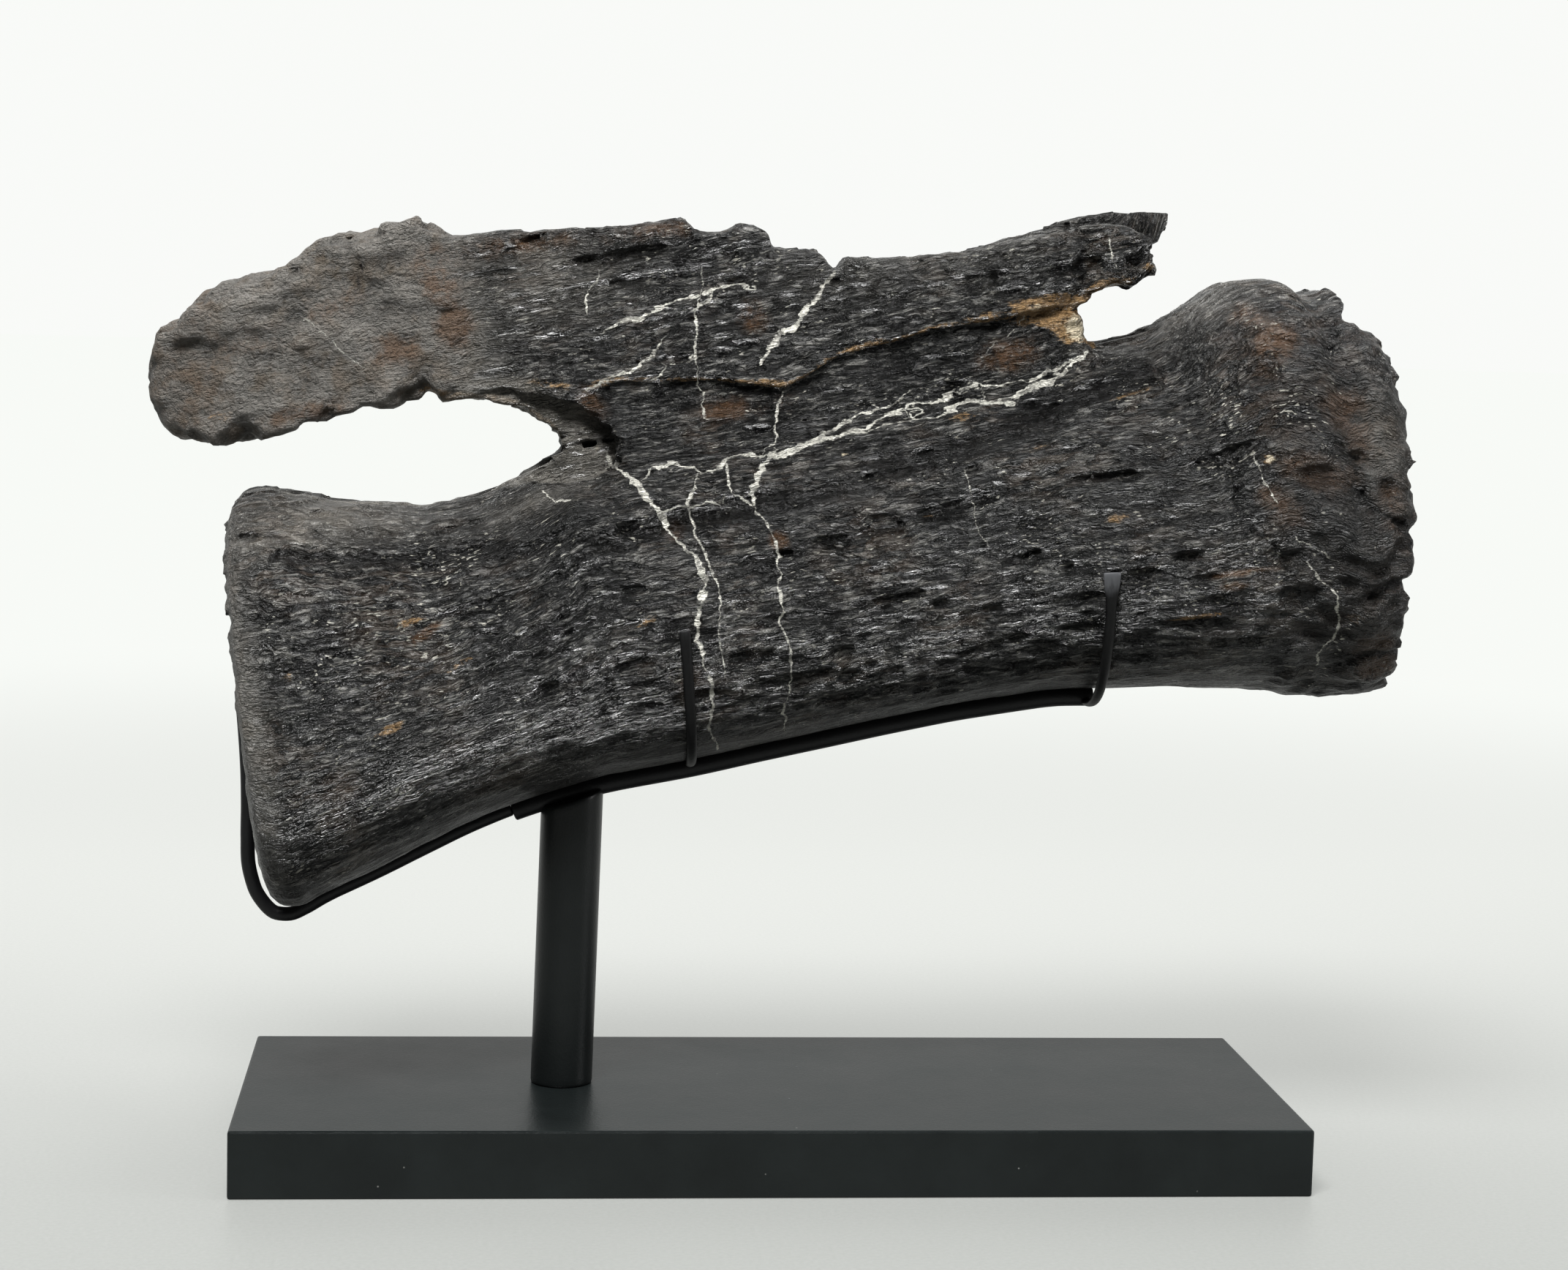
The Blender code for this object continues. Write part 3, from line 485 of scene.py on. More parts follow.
near_veins = [
    [   # Layer 0
        [(-49.4, 44.6, 1.4), (-47.6, 41.0, 1.8), (-44.2, 37.6, 2.3), (-41.5, 33.9, 2.2), (-38.8, 29.6, 2.2),
         (-37.4, 24.1, 1.5), (-34.7, 21.8, 1.3), (-32.3, 18.7, 1.9), (-31.1, 14.8, 2.7), (-32.2, 9.7, 2.4),
         (-34.1, 3.8, 1.9), (-34.8, -0.7, 2.0), (-33.6, -6.5, 1.3), (-32.4, -12.4, 1.2),
         (-33.1, -18.0, 1.3), (-34.4, -23.9, 1.0), (-32.3, -30.4, 0.7)],
        [(-10.2, 40.6, 1.5), (-14.3, 36.8, 1.9), (-16.1, 33.1, 1.7), (-17.1, 29.2, 1.3), (-14.2, 24.2, 1.1),
         (-12.8, 20.7, 1.0), (-12.5, 17.7, 1.2), (-13.5, 13.1, 0.9), (-13.6, 7.1, 1.0), (-14.2, 0.2, 1.0),
         (-13.1, -5.4, 0.9), (-13.0, -11.1, 0.9), (-13.8, -16.7, 0.9), (-15.7, -21.7, 0.9),
         (-15.5, -27.5, 0.6)],
        [(-20.4, 86.7, 0.4), (-21.3, 80.1, 0.5), (-23.2, 75.5, 0.6), (-24.6, 68.9, 0.8), (-24.8, 62.8, 0.8),
         (-24.5, 56.0, 0.8), (-24.6, 49.3, 0.6)],
        [(111.6, -1.9, 0.8), (114.5, -6.5, 1.0), (117.9, -10.6, 1.0), (118.5, -15.0, 1.1),
         (118.8, -19.4, 1.1), (116.5, -22.5, 0.9), (115.0, -25.7, 1.0), (115.8, -30.0, 0.8)],
        [(34.0, 29.7, 0.4), (35.4, 22.2, 0.5), (35.3, 16.8, 0.5), (36.7, 12.5, 0.4)],
        [(-45.4, 88.4, 0.5), (-47.5, 85.8, 0.9), (-48.8, 83.0, 0.8), (-49.5, 80.1, 0.5)],
        [(-116.8, 87.1, 0.4), (-112.3, 82.1, 0.5), (-107.8, 76.9, 0.5), (-104.1, 72.2, 0.4)],
    ],
    [   # Layer 1
        [(-42.2, 38.0, 0.8), (-39.1, 40.8, 1.0), (-35.0, 40.9, 1.2), (-29.8, 38.9, 1.2), (-28.6, 37.7, 1.2),
         (-23.0, 39.3, 1.0), (-19.3, 41.0, 1.2), (-12.0, 40.4, 1.7), (-3.1, 41.1, 2.0), (2.6, 43.1, 1.8),
         (9.9, 45.4, 1.2), (19.2, 47.5, 1.0), (25.3, 50.1, 0.5)],
        [(-25.4, 66.0, 0.5), (-29.7, 64.8, 0.7), (-34.2, 62.8, 0.6), (-37.0, 61.4, 0.4)],
        [(10.8, 80.8, 1.2), (7.0, 77.0, 2.0), (3.6, 73.4, 2.3), (0.7, 69.7, 2.2), (-3.5, 67.2, 2.4),
         (-6.4, 64.7, 2.2), (-9.1, 61.6, 1.4)],
        [(-45.9, 74.6, 0.6), (-40.3, 76.2, 1.5), (-36.2, 76.6, 1.7), (-29.8, 78.5, 1.3), (-22.6, 80.2, 1.4),
         (-17.0, 81.3, 1.5), (-12.8, 81.6, 1.2), (-8.2, 80.4, 0.7)],
        [(101.6, 25.7, 0.8), (102.4, 21.0, 0.9), (105.0, 13.7, 0.7)],
        [(109.6, 5.0, 0.6), (113.7, 0.9, 0.7), (118.0, -2.2, 0.5)],
    ],
    [   # Layer 2
        [(-9.8, 39.6, 0.9), (-3.2, 40.6, 1.4), (2.5, 42.0, 1.6), (12.9, 43.4, 1.3), (18.8, 45.5, 1.0),
         (24.6, 46.8, 0.9), (31.5, 47.5, 1.1), (38.1, 49.1, 1.2), (44.9, 49.4, 1.0), (52.9, 49.2, 0.9),
         (58.4, 50.3, 1.0), (63.6, 51.9, 1.2), (68.1, 53.5, 0.9)],
        [(-29.3, 37.1, 0.7), (-32.6, 31.7, 0.9), (-32.2, 27.7, 1.0), (-31.6, 22.2, 1.0), (-30.4, 18.8, 0.9),
         (-29.0, 15.0, 1.0), (-27.7, 11.0, 0.9), (-27.6, 8.0, 0.8), (-29.0, 3.0, 0.8), (-29.6, -1.5, 0.7),
         (-28.9, -7.2, 0.7), (-29.0, -11.5, 0.5)],
        [(-52.0, 61.1, 0.5), (-48.0, 62.4, 1.0), (-42.3, 63.4, 1.4), (-38.7, 64.8, 1.0), (-34.7, 68.2, 0.7),
         (-30.8, 71.7, 0.4)],
        [(-24.4, 76.6, 0.8), (-20.1, 78.3, 1.2), (-18.2, 80.4, 1.0)],
    ],
    [   # Layer 3
        [(1.0, 41.6, 0.8), (8.5, 42.0, 1.2), (18.3, 42.8, 1.0), (24.6, 43.2, 1.3), (30.8, 43.9, 1.2),
         (35.2, 45.4, 2.4), (39.5, 46.4, 2.6), (43.4, 45.8, 1.7), (46.3, 44.0, 1.6), (49.0, 44.2, 2.0),
         (53.2, 46.8, 2.8), (58.6, 47.8, 2.8), (61.8, 50.0, 1.8), (65.8, 52.2, 1.7), (69.7, 53.6, 1.4)],
        [(-21.9, 37.4, 0.9), (-21.3, 32.7, 0.9), (-18.0, 28.3, 1.0)],
        [(-38.7, 31.2, 0.7), (-34.4, 30.6, 0.9), (-29.1, 30.9, 0.8), (-24.8, 30.3, 0.7)],
        [(-5.4, 54.1, 0.8), (-7.0, 51.0, 0.8), (-7.8, 47.1, 0.9), (-9.6, 43.4, 1.0), (-12.8, 40.5, 1.0)],
        [(-66.0, 38.8, 0.8), (-63.9, 36.5, 1.0), (-60.6, 36.5, 0.7)],
        [(77.6, 79.9, 0.4), (78.3, 76.3, 0.6), (79.5, 72.6, 0.4)],
        [(55.6, 64.0, 0.4), (50.0, 60.0, 0.5), (44.5, 56.5, 0.4)],
    ],
]
far_veins = [
    [
        [(-42.0, 46.0, 1.4), (-38.5, 36.0, 2.0), (-33.0, 26.0, 1.6), (-31.5, 14.0, 2.2), (-35.0, 2.0, 1.6),
         (-33.5, -10.0, 1.2), (-36.0, -22.0, 0.8)],
        [(18.0, 80.0, 1.0), (9.0, 71.0, 1.9), (0.0, 62.0, 1.7), (-6.0, 52.0, 1.2), (-9.0, 42.0, 1.4),
         (-15.0, 31.0, 1.2), (-12.0, 18.0, 1.0), (-15.0, 4.0, 0.9), (-14.0, -12.0, 0.8)],
        [(104.0, 30.0, 0.7), (109.0, 16.0, 1.0), (106.0, 2.0, 0.9), (112.0, -12.0, 0.8)],
    ],
    [
        [(-36.0, 33.0, 0.9), (-26.0, 38.0, 1.2), (-12.0, 39.5, 1.6), (4.0, 42.5, 1.9), (20.0, 44.0, 1.4),
         (36.0, 48.0, 2.0), (50.0, 47.0, 1.6), (62.0, 52.0, 1.2)],
        [(-48.0, 90.0, 0.6), (-38.0, 82.0, 1.1), (-26.0, 79.0, 1.3), (-14.0, 83.0, 0.8)],
    ],
    [
        [(14.0, 43.5, 0.9), (28.0, 41.0, 1.2), (42.0, 43.0, 1.0), (54.0, 40.0, 0.6)],
        [(-31.5, 14.0, 0.6), (-26.0, 4.0, 0.9), (-24.0, -8.0, 0.6)],
        [(-20.0, 96.0, 0.6), (-23.0, 78.0, 0.8), (-28.0, 62.0, 0.7), (-25.0, 50.0, 0.5)],
    ],
    [
        [(-100.0, 22.0, 0.5), (-92.0, 12.0, 0.8), (-95.0, 0.0, 0.7), (-90.0, -14.0, 0.5)],
    ],
]


VEIN_STEP = 0.7
VEIN_REACH = 6.4


def drape(line, side):
    """Points every VEIN_STEP along a line of u, v and width, with a small sideways wander, each moved
    straight in across the bone from one side until it meets the surface."""
    line = np.array(line, float)
    length = np.concatenate([[0.0], np.cumsum(np.hypot(*np.diff(line[:, :2], axis=0).T))])
    s = np.arange(0.0, length[-1], VEIN_STEP)
    u, v, width = (np.interp(s, length, line[:, n]) for n in range(3))
    place = np.stack([u / 3.1, v / 3.1, np.full_like(u, 4.0)], -1)
    u = u + 0.7 * lattice_noise(place, 41) + 0.35 * lattice_noise(place * 2.7, 43)
    v = v + 0.7 * lattice_noise(place, 47) + 0.35 * lattice_noise(place * 2.7, 53)
    depth = np.arange(56.0, 1.0, -0.5)
    many = [a.ravel() for a in np.broadcast_arrays(u[:, None], side * depth[None], v[:, None])]
    inside = bone_form(*many).reshape(len(u), -1) < 0
    first = inside.argmax(1)
    met = inside.any(1)
    return np.stack([u, side * depth[first], v], -1)[met], width[met], s[met]


def vein_layer(lines):
    """For each point of the bone: its distance from the nearest of the lines, minus on one side and plus on
    the other, the line's half width, which fades to nothing away from the line and past its ends, and the
    length along it."""
    layer = np.zeros((len(bone_points), 3))
    layer[:, 0] = 9.0
    nearest = np.full(len(bone_points), VEIN_REACH)
    for line, side in lines:
        place, width, s = drape(line, side)
        tangent = np.gradient(place, axis=0)
        tangent /= np.linalg.norm(tangent, axis=1)[:, None] + 1e-9
        after, before = bone_points > place.min(0) - VEIN_REACH, bone_points < place.max(0) + VEIN_REACH
        near = np.flatnonzero((after & before).all(1))
        gap = np.linalg.norm(bone_points[near][:, None] - place[None], axis=2)
        k = gap.argmin(1)
        off = bone_points[near] - place[k]
        along = (off * tangent[k]).sum(1)
        beside = off - along[:, None] * tangent[k]
        across = np.cross(tangent[k], bone_facing[near])
        signed = (beside * across).sum(1) / (np.linalg.norm(across, axis=1) + 1e-9)
        past = np.where((k == 0) | (k == len(place) - 1), np.abs(along), 0.0)
        half = 0.5 * width[k] * (1.0 - ease(2.0, 3.2, np.abs(signed))) * (1.0 - ease(0.2, 1.6, past))
        distance = np.linalg.norm(off, axis=1)
        take = distance < nearest[near]
        at = near[take]
        nearest[at] = distance[take]
        layer[at] = np.stack([signed, half, s[k] + along], -1)[take]
    return layer


for number, (front, back) in enumerate(zip(near_veins, far_veins)):
    lines = [(line, -1.0) for line in front] + [(line, 1.0) for line in back]
    paint(vertebra, f"vein_{number}", vein_layer(lines))

# The bone's colours and surface
# Charcoal-black stone, brown and lighter where the spine and the front rim weathered, with rust and ochre
# stains, broken tan edges, and fine flakes along the grain that glint under a thin clear consolidant.
# Light and shade are painted into the colour as well: pale glint specks, shade in the seams, cracks,
# grooves and under the turned-in lower edge, and a lighter tone on the relief's crests.

# u, v, half length, half height, turn in degrees, strength; on the near side
near_rust = [
    (-83.8, 90.6, 5, 6, 0, 0.9), (-82.5, 81.6, 5, 7, 0, 1.0), (-84.8, 97.0, 7, 4, 0, 0.7),
    (-110.0, 89.0, 12, 5, 10, 0.5), (-130.6, 82.8, 12, 6, 10, 0.5), (-96.5, 76.5, 7, 5, 0, 0.8),
    (-119.5, 64.6, 14, 3, 4, 0.7), (-64.9, 97.8, 22, 3, 0, 0.6), (-29.4, 96.7, 16, 3, 0, 0.5),
    (50.4, 55.9, 8, 4, 10, 0.9), (-20.0, 52.0, 6, 3, 0, 0.9), (-9.5, 72.7, 4, 5, 0, 0.6),
    (-51.5, 57.0, 3, 5, 20, 1.0), (124.0, 33.6, 5, 6, 60, 0.9), (126.6, 26.0, 4, 7, 0, 0.9),
    (127.9, -24.6, 5, 4, 0, 1.0), (129.1, -31.0, 6, 4, 0, 1.0), (113.7, 21.0, 8, 4, -20, 1.0),
    (118.8, 18.0, 8, 4, -10, 1.0), (107.0, 58.0, 6, 4, 0, 0.5), (110.9, 50.6, 7, 5, 30, 0.9),
    (107.0, 12.0, 4, 8, 40, 0.8), (132.0, 10.0, 4, 12, 0, 0.6), (96.3, -2.1, 9, 0.9, 0, 1.0),
    (94.4, -5.2, 4, 1.1, 0, 1.0), (-12.2, 19.9, 2.4, 2.2, 0, 1.0), (-36.9, 25.9, 3, 2.4, 0, 0.9),
    (-98.4, 10.6, 5, 1.0, 26, 1.0), (-123.0, -26.0, 9, 14, 0, 0.3), (-95.0, -18.0, 8, 8, 0, 0.3),
    (-38.0, -12.0, 6, 8, 0, 0.35), (-8.0, 51.0, 8, 3, 10, 0.4), (30.0, 3.0, 6, 2, 5, 0.35),
    (10.0, 2.0, 5, 2, 5, 0.35), (85.0, 47.0, 10, 5, 20, 0.3),
]
near_ochre = [
    (-101.0, 13.9, 4.2, 1.1, 8, 1.0), (-91.3, 2.4, 5.5, 1.0, 20, 0.9), (-109.1, -10.1, 4.8, 1.4, 18, 1.0),
    (-46.0, 5.4, 4, 1.2, 20, 0.9), (-130.7, 6.2, 1.8, 1.8, 0, 0.8), (68.7, 14.8, 4, 1.4, 5, 1.0),
    (86.4, -11.7, 10, 0.9, 0, 1.0), (24.2, 21.1, 2.4, 1.2, 0, 0.7), (36.8, 43.0, 5, 2.0, 5, 0.7),
    (52.8, 33.0, 7, 1.7, 5, 0.55), (77.2, 43.2, 9, 0.9, 10, 0.7), (-139.9, 66.5, 10, 3, -10, 0.5),
    (-60.0, 63.5, 12, 1.6, -14, 0.7), (16.0, 62.6, 8, 1.4, 8, 0.9), (-8.0, 57.0, 9, 1.3, -10, 0.8),
    (45.0, 66.0, 8, 1.3, 3, 0.8), (-47.0, 62.3, 7, 1.3, 4, 0.9), (60.5, 65.6, 10, 3.6, 3, 1.3),
    (66.0, 60.5, 5, 4.5, 0, 1.2), (77.0, 69.6, 8, 2.0, 4, 1.0), (87.5, 72.5, 3, 2.0, 0, 0.8),
    (104.4, 24.5, 2.0, 1.6, 0, 1.0), (-97.0, 22.0, 6, 4, 0, 0.35), (-95.0, 12.0, 7, 6, 0, 0.3),
    (122.0, -17.0, 4, 3, 0, 0.6), (5.0, -24.0, 20, 3, 0, 0.3), (-42.0, 23.6, 6, 1.4, 12, 0.5),
    (-22.0, 25.0, 5, 1.2, 12, 0.5),
]
near_cream = [
    (67.6, 60.2, 3.4, 4.4, 0, 1.2), (58.5, 66.6, 5, 1.8, 0, 0.7), (-51.5, 46.5, 2.0, 4.0, 20, 0.6),
    (105.3, 24.2, 1.8, 1.4, 0, 1.0), (-109.0, 0.6, 1.8, 0.7, 0, 0.8), (-117.1, -28.5, 2.2, 0.9, 0, 0.8),
    (59.8, 12.5, 1.4, 0.6, 0, 0.8), (6.7, 37.8, 1.8, 0.7, 0, 0.9), (113.0, 35.0, 6, 8, 0, 0.45),
    (97.0, 24.0, 5, 8, 0, 0.4), (88.0, 45.0, 4, 4, 0, 0.4), (-83.0, 60.0, 4, 2.0, 0, 0.3),
]
near_dull = [
    (-118.0, 40.0, 24, 6, -4, 0.5), (-136.0, 38.0, 8, 6, 0, 0.5), (97.0, 62.0, 16, 5, 18, 0.35),
    (-141.0, 0.0, 4, 40, 0, 0.6), (130.5, 24.0, 5, 10, 0, 0.8), (-60.0, 88.0, 20, 10, 0, 0.3),
    (-68.0, 36.0, 12, 3, 14, 0.6), (35.0, 84.0, 34, 9, 6, 0.16), (-60.0, -30.0, 40, 9, -12, 0.12),
]
# Painted shade: dark patches in the grooves and cracks, in the bands under the ridges and over the front end
near_painted_shade = [
    (0.0, 27.0, 24, 3.0, 8, 0.9), (40.0, 35.0, 26, 3.0, 8, 0.9), (-75.0, 26.0, 24, 5, 8, 0.7),
    (72.0, 47.0, 18, 5, 16, 0.8), (-48.0, 53.0, 6, 7, -50, 0.9), (84.0, 30.0, 22, 12, 10, 0.85),
    (110.0, -30.0, 22, 8, -4, 0.6), (-40.0, 16.0, 18, 2.4, 10, 0.6), (70.5, 76.0, 1.2, 8, 8, 1.0),
    (127.0, 8.0, 5, 2.0, -50, 1.0), (123.0, 18.0, 5, 2.0, -50, 0.9), (58.0, 38.0, 20, 3.0, 8, 0.5),
    (5.0, 54.0, 40, 3.4, 8, 0.55), (-62.0, 33.0, 30, 6, 6, 0.8), (75.0, 20.0, 50, 26, 6, 0.55),
    (120.0, 0.0, 22, 60, 0, 0.85), (-138.0, 20.0, 2.4, 22, 0, 0.6), (-96.0, 62.0, 4, 6, 0, 0.5),
]
# Where the pale specks are denser: small crystals, and pale specks painted in as glints
near_painted_glints = [
    (-104.0, 14.0, 22, 12, 10, 1.0), (-90.0, 26.0, 26, 6, 4, 0.8), (-112.0, -6.0, 12, 10, 0, 0.6),
    (-112.0, -28.0, 8, 6, 0, 0.8), (96.0, 30.0, 7, 12, 0, 1.0), (112.0, 38.0, 8, 9, 0, 1.0),
    (105.0, 4.0, 6, 6, 0, 0.7), (118.0, -24.0, 5, 9, 0, 0.9), (88.0, -6.0, 14, 8, 0, 0.5),
    (80.0, 40.0, 10, 5, 12, 0.7), (20.0, 48.0, 40, 5, 8, 0.5), (-20.0, 85.0, 26, 7, 0, 0.6),
    (60.0, 12.0, 14, 8, 0, 0.6), (-10.0, 8.0, 30, 14, 8, 0.35), (30.0, 76.0, 24, 5, 0, 0.5),
]


def stain(table):
    """The strongest of a table's soft oval patches at each point of the near side; on the far side the same
    patches lie mirrored, shifted along the bone and weaker."""
    u, y, v = bone_points.T
    total = np.zeros(len(u))
    for at_u, at_v, long, high, turn, strength in table:
        c, s = math.cos(math.radians(turn)), math.sin(math.radians(turn))
        for side, shift, share in ((-1, 0.0, 1.0), (1, 11.0, 0.7)):
            du, dv = u - at_u - shift, v - at_v - 0.2 * shift
            along, up = (du * c + dv * s) / long, (-du * s + dv * c) / high
            here = strength * share * np.exp(-(along ** 2 + up ** 2)) * ease(-1.0, 3.0, y * side)
            total = np.maximum(total, here)
    return total


# Where weathering, painted shade under the turned-in lower edge, and raw walls of the canal and its mouth
# change the stone
u, y, v = bone_points.T
spine_zone = ease(-62.0, -92.0, u) * ease(50.0, 58.0, v)
rim_zone = ease(92.0, 116.0, u + 0.2 * v) * (1.0 - ease(54.0, 60.0, v))
rim_zone = np.maximum(rim_zone, 0.45 * ease(-134.0, -142.0, u))
# Painted shade, darker towards the turned-in lower edge
painted_underside_shade = 0.75 * ease(9.0, 1.0, v - rows(centrum_stations, u)[1] - 2.0)
canal_wall = 1.0 - ease(0.8, 2.2, np.abs(canal_field(u, y, v)))
mouth_wall = 1.0 - ease(1.0, 3.5, mouth_field(u, np.minimum(y, -MOUTH_DEPTH - 0.4), v))
mouth_wall = mouth_wall * ease(-12.5, -9.5, y) * ease(12.0, 9.0, y)
# Painted shade: a dark pit low in the mouth, kept out of the pale raw wall
painted_pit_shade = np.exp(-((u + 61.5) / 1.6) ** 2 - ((v - 43.8) / 1.1) ** 2) * (y < 12.0)
raw_zone = np.maximum(mouth_wall * (1.0 - painted_pit_shade), canal_wall * ease(-46.0, -56.0, u))
# Where the bone wore or broke: its two ends, the edge under the near process, the step and the spine's lip
rear_face = ease(0.5, 0.8, -bone_facing[:, 0]) * (u < -130.0) * (v < 56.0)
end_faces = np.maximum(ease(0.5, 0.8, bone_facing[:, 0]) * (u > 120.0), rear_face)
tan_break = ease(-0.6, 0.8, v - 65.2 + 0.54 * (u - 52.0)) * ease(69.6, 67.8, v) * ease(50.0, 53.0, u)
tan_break = tan_break * (y < -3.0) * (u < 74.0)
step_gap = v - np.interp(u, step_line[:, 0], step_line[:, 1])
step_stain = 0.76 * np.exp(-((step_gap - 0.2) / 0.9) ** 2)
step_stain = step_stain * ease(-56.0, -48.0, u) * ease(74.0, 62.0, u) * (y < 0.0)
lip_stain = 0.95 * np.exp(-((v - rows(blade_stations, u)[0]) / 2.2) ** 2)
lip_stain = lip_stain * ease(-100.0, -86.0, u) * ease(-55.0, -62.0, u)
rust = np.maximum(stain(near_rust), 0.22 * spine_zone + 0.24 * rim_zone)
tones = np.stack([
    np.maximum(stain(near_dull), 0.8 * spine_zone), rust,
    np.maximum(stain(near_ochre), np.maximum(np.maximum(step_stain, lip_stain), 0.95 * tan_break)),
], -1)
# First painted shade (the dark patches and the turned-in lower edge), then the cream patches, then how
# granular the stone is
worn = np.stack([
    np.maximum(stain(near_painted_shade), painted_underside_shade), stain(near_cream),
    np.clip(spine_zone + 0.45 * rim_zone + 0.7 * end_faces, 0.0, 1.0),
], -1)
paint(vertebra, "tones", tones)
paint(vertebra, "worn", worn)
paint(vertebra, "raw", np.clip(raw_zone, 0.0, 1.0))
# Painted shade in the open cracks: how deep each point lies in one
paint(vertebra, "open", np.clip(near_cracks(bone_points, *rough_noises(bone_points)[1:]), 0.0, 0.9))
# Where the painted glints and crystal specks are denser
paint(vertebra, "sparkle", stain(near_painted_glints))
paint(vertebra, "crest", np.clip(weathering(u, y, v), -2.0, 2.0))


class Wire:
    """A socket of a material's nodes; arithmetic on it adds Math nodes."""

    def __init__(self, tree, socket):
        self.tree, self.socket = tree, socket

    def node(self, kind, settings=None, sockets=None, out=0):
        """Adds a node: first its settings, or a ramp's stops, then the values or links of its sockets."""
        made = self.tree.nodes.new(kind)
        for name, value in (settings or {}).items():
            if name == "stops":
                while len(made.color_ramp.elements) < len(value):
                    made.color_ramp.elements.new(0.5)
                for stop, (place, colour) in zip(made.color_ramp.elements, value):
                    stop.position, stop.color = place, (*colour, 1.0)
            else:
                setattr(made, name, value)
        for name, value in (sockets or {}).items():
            if isinstance(value, Wire):
                self.tree.links.new(value.socket, made.inputs[name])
            else:
                made.inputs[name].default_value = value
        return Wire(self.tree, made.outputs[out])

    def math(self, operation, *values):
        return self.node("ShaderNodeMath", {"operation": operation}, dict(enumerate(values)))

    def __add__(self, other):
        return self.math("ADD", self, other)

    def __sub__(self, other):
        return self.math("SUBTRACT", self, other)

    def __rsub__(self, other):
        return self.math("SUBTRACT", other, self)

    def __mul__(self, other):
        return self.math("MULTIPLY", self, other)

    def __abs__(self):
        return self.math("ABSOLUTE", self)

    __radd__, __rmul__ = __add__, __mul__

    def least(self, other):
        return self.math("MINIMUM", self, other)

    def most(self, other):
        return self.math("MAXIMUM", self, other)

    def rise(self, low, high):
        """0 up to low, 1 from high, and a smooth S between."""
        return self.node("ShaderNodeMapRange", {"interpolation_type": "SMOOTHSTEP"},
                         {"Value": self, "From Min": low, "From Max": high})

    def also(self, out):
        """Another output of the same node."""
        return Wire(self.tree, self.socket.node.outputs[out])

    def less(self, other):
        """A vector less another."""
        return self.node("ShaderNodeVectorMath", {"operation": "SUBTRACT"}, {0: self, 1: other})

    def dot(self, other):
        """The dot product with another vector."""
        return self.node("ShaderNodeVectorMath", {"operation": "DOT_PRODUCT"}, {0: self, 1: other}, 1)

    def axis(self, number):
        """One number of a vector."""
        return self.node("ShaderNodeSeparateXYZ", None, {0: self}, number)

    def stretch(self, x, y, z):
        """A vector with its numbers multiplied."""
        return self.node("ShaderNodeVectorMath", {"operation": "MULTIPLY"}, {0: self, 1: (x, y, z)})

    def shift(self, other, amount):
        """A vector moved by a colour's red, green and blue, less a half, times an amount."""
        centred = other.less((0.5, 0.5, 0.5))
        return self.node("ShaderNodeVectorMath", {"operation": "MULTIPLY_ADD"},
                         {0: centred, 1: (amount,) * 3, 2: self})

    def noise(self, scale, detail=4.0, rough=0.55, out=0):
        """Cloudy noise at this vector, its grey value or its colour."""
        return self.node("ShaderNodeTexNoise", None,
                         {"Vector": self, "Scale": scale, "Detail": detail, "Roughness": rough}, out)

    def cells(self, scale, feature="F1", out=0):
        """Voronoi cells at this vector: distance, or each cell's own colour."""
        return self.node("ShaderNodeTexVoronoi", {"feature": feature}, {"Vector": self, "Scale": scale}, out)

    def ramp(self, *stops):
        """A colour for this number, blended between stops, each a place from 0 to 1 and a colour."""
        return self.node("ShaderNodeValToRGB", {"stops": stops}, {"Fac": self})

    def tint(self, other, share):
        """This colour with another laid over it by a share from 0 to 1."""
        made = self.tree.nodes.new("ShaderNodeMix")
        made.data_type = "RGBA"
        for place, value in ((0, share), (6, self), (7, other)):
            if isinstance(value, Wire):
                self.tree.links.new(value.socket, made.inputs[place])
            else:
                made.inputs[place].default_value = value if place == 0 else (*value, 1.0)
        return Wire(self.tree, made.outputs[2])


def new_finish(name, **constants):
    """A material with one Principled shader, its constant sockets set here, and a wire to start from."""
    made = bpy.data.materials.new(name)
    made.use_nodes = True
    shader = made.node_tree.nodes["Principled BSDF"]
    for socket, value in constants.items():
        shader.inputs[socket.replace("_", " ")].default_value = value
    return made, shader, Wire(made.node_tree, None)


def join(shader, wire, socket):
    """Leads a wire into a socket of the shader."""
    wire.tree.links.new(wire.socket, shader.inputs[socket])


def bump(height, millimetres):
    """A normal from a height, of which one unit stands this many millimetres high."""
    return height.node("ShaderNodeBump", None, {"Height": height, "Distance": millimetres * 0.001})


stone, shader, start = new_finish("fossil_bone_stone", IOR=1.5, Specular_IOR_Level=0.62)
place = start.node("ShaderNodeTexCoord", out=3).stretch(1000.0, 1000.0, 1000.0)
grain = start.node("ShaderNodeAttribute", {"attribute_name": "grain"}, out=1)
tones = start.node("ShaderNodeAttribute", {"attribute_name": "tones"}, out=1)
worn = start.node("ShaderNodeAttribute", {"attribute_name": "worn"}, out=1)
raw = start.node("ShaderNodeAttribute", {"attribute_name": "raw"}, out=2)
dull, rusty, ochre = (tones.axis(n) for n in range(3))
# The first of these is painted shade: the dark patches and the turned-in lower edge
painted_shade, cream, granular = (worn.axis(n) for n in range(3))

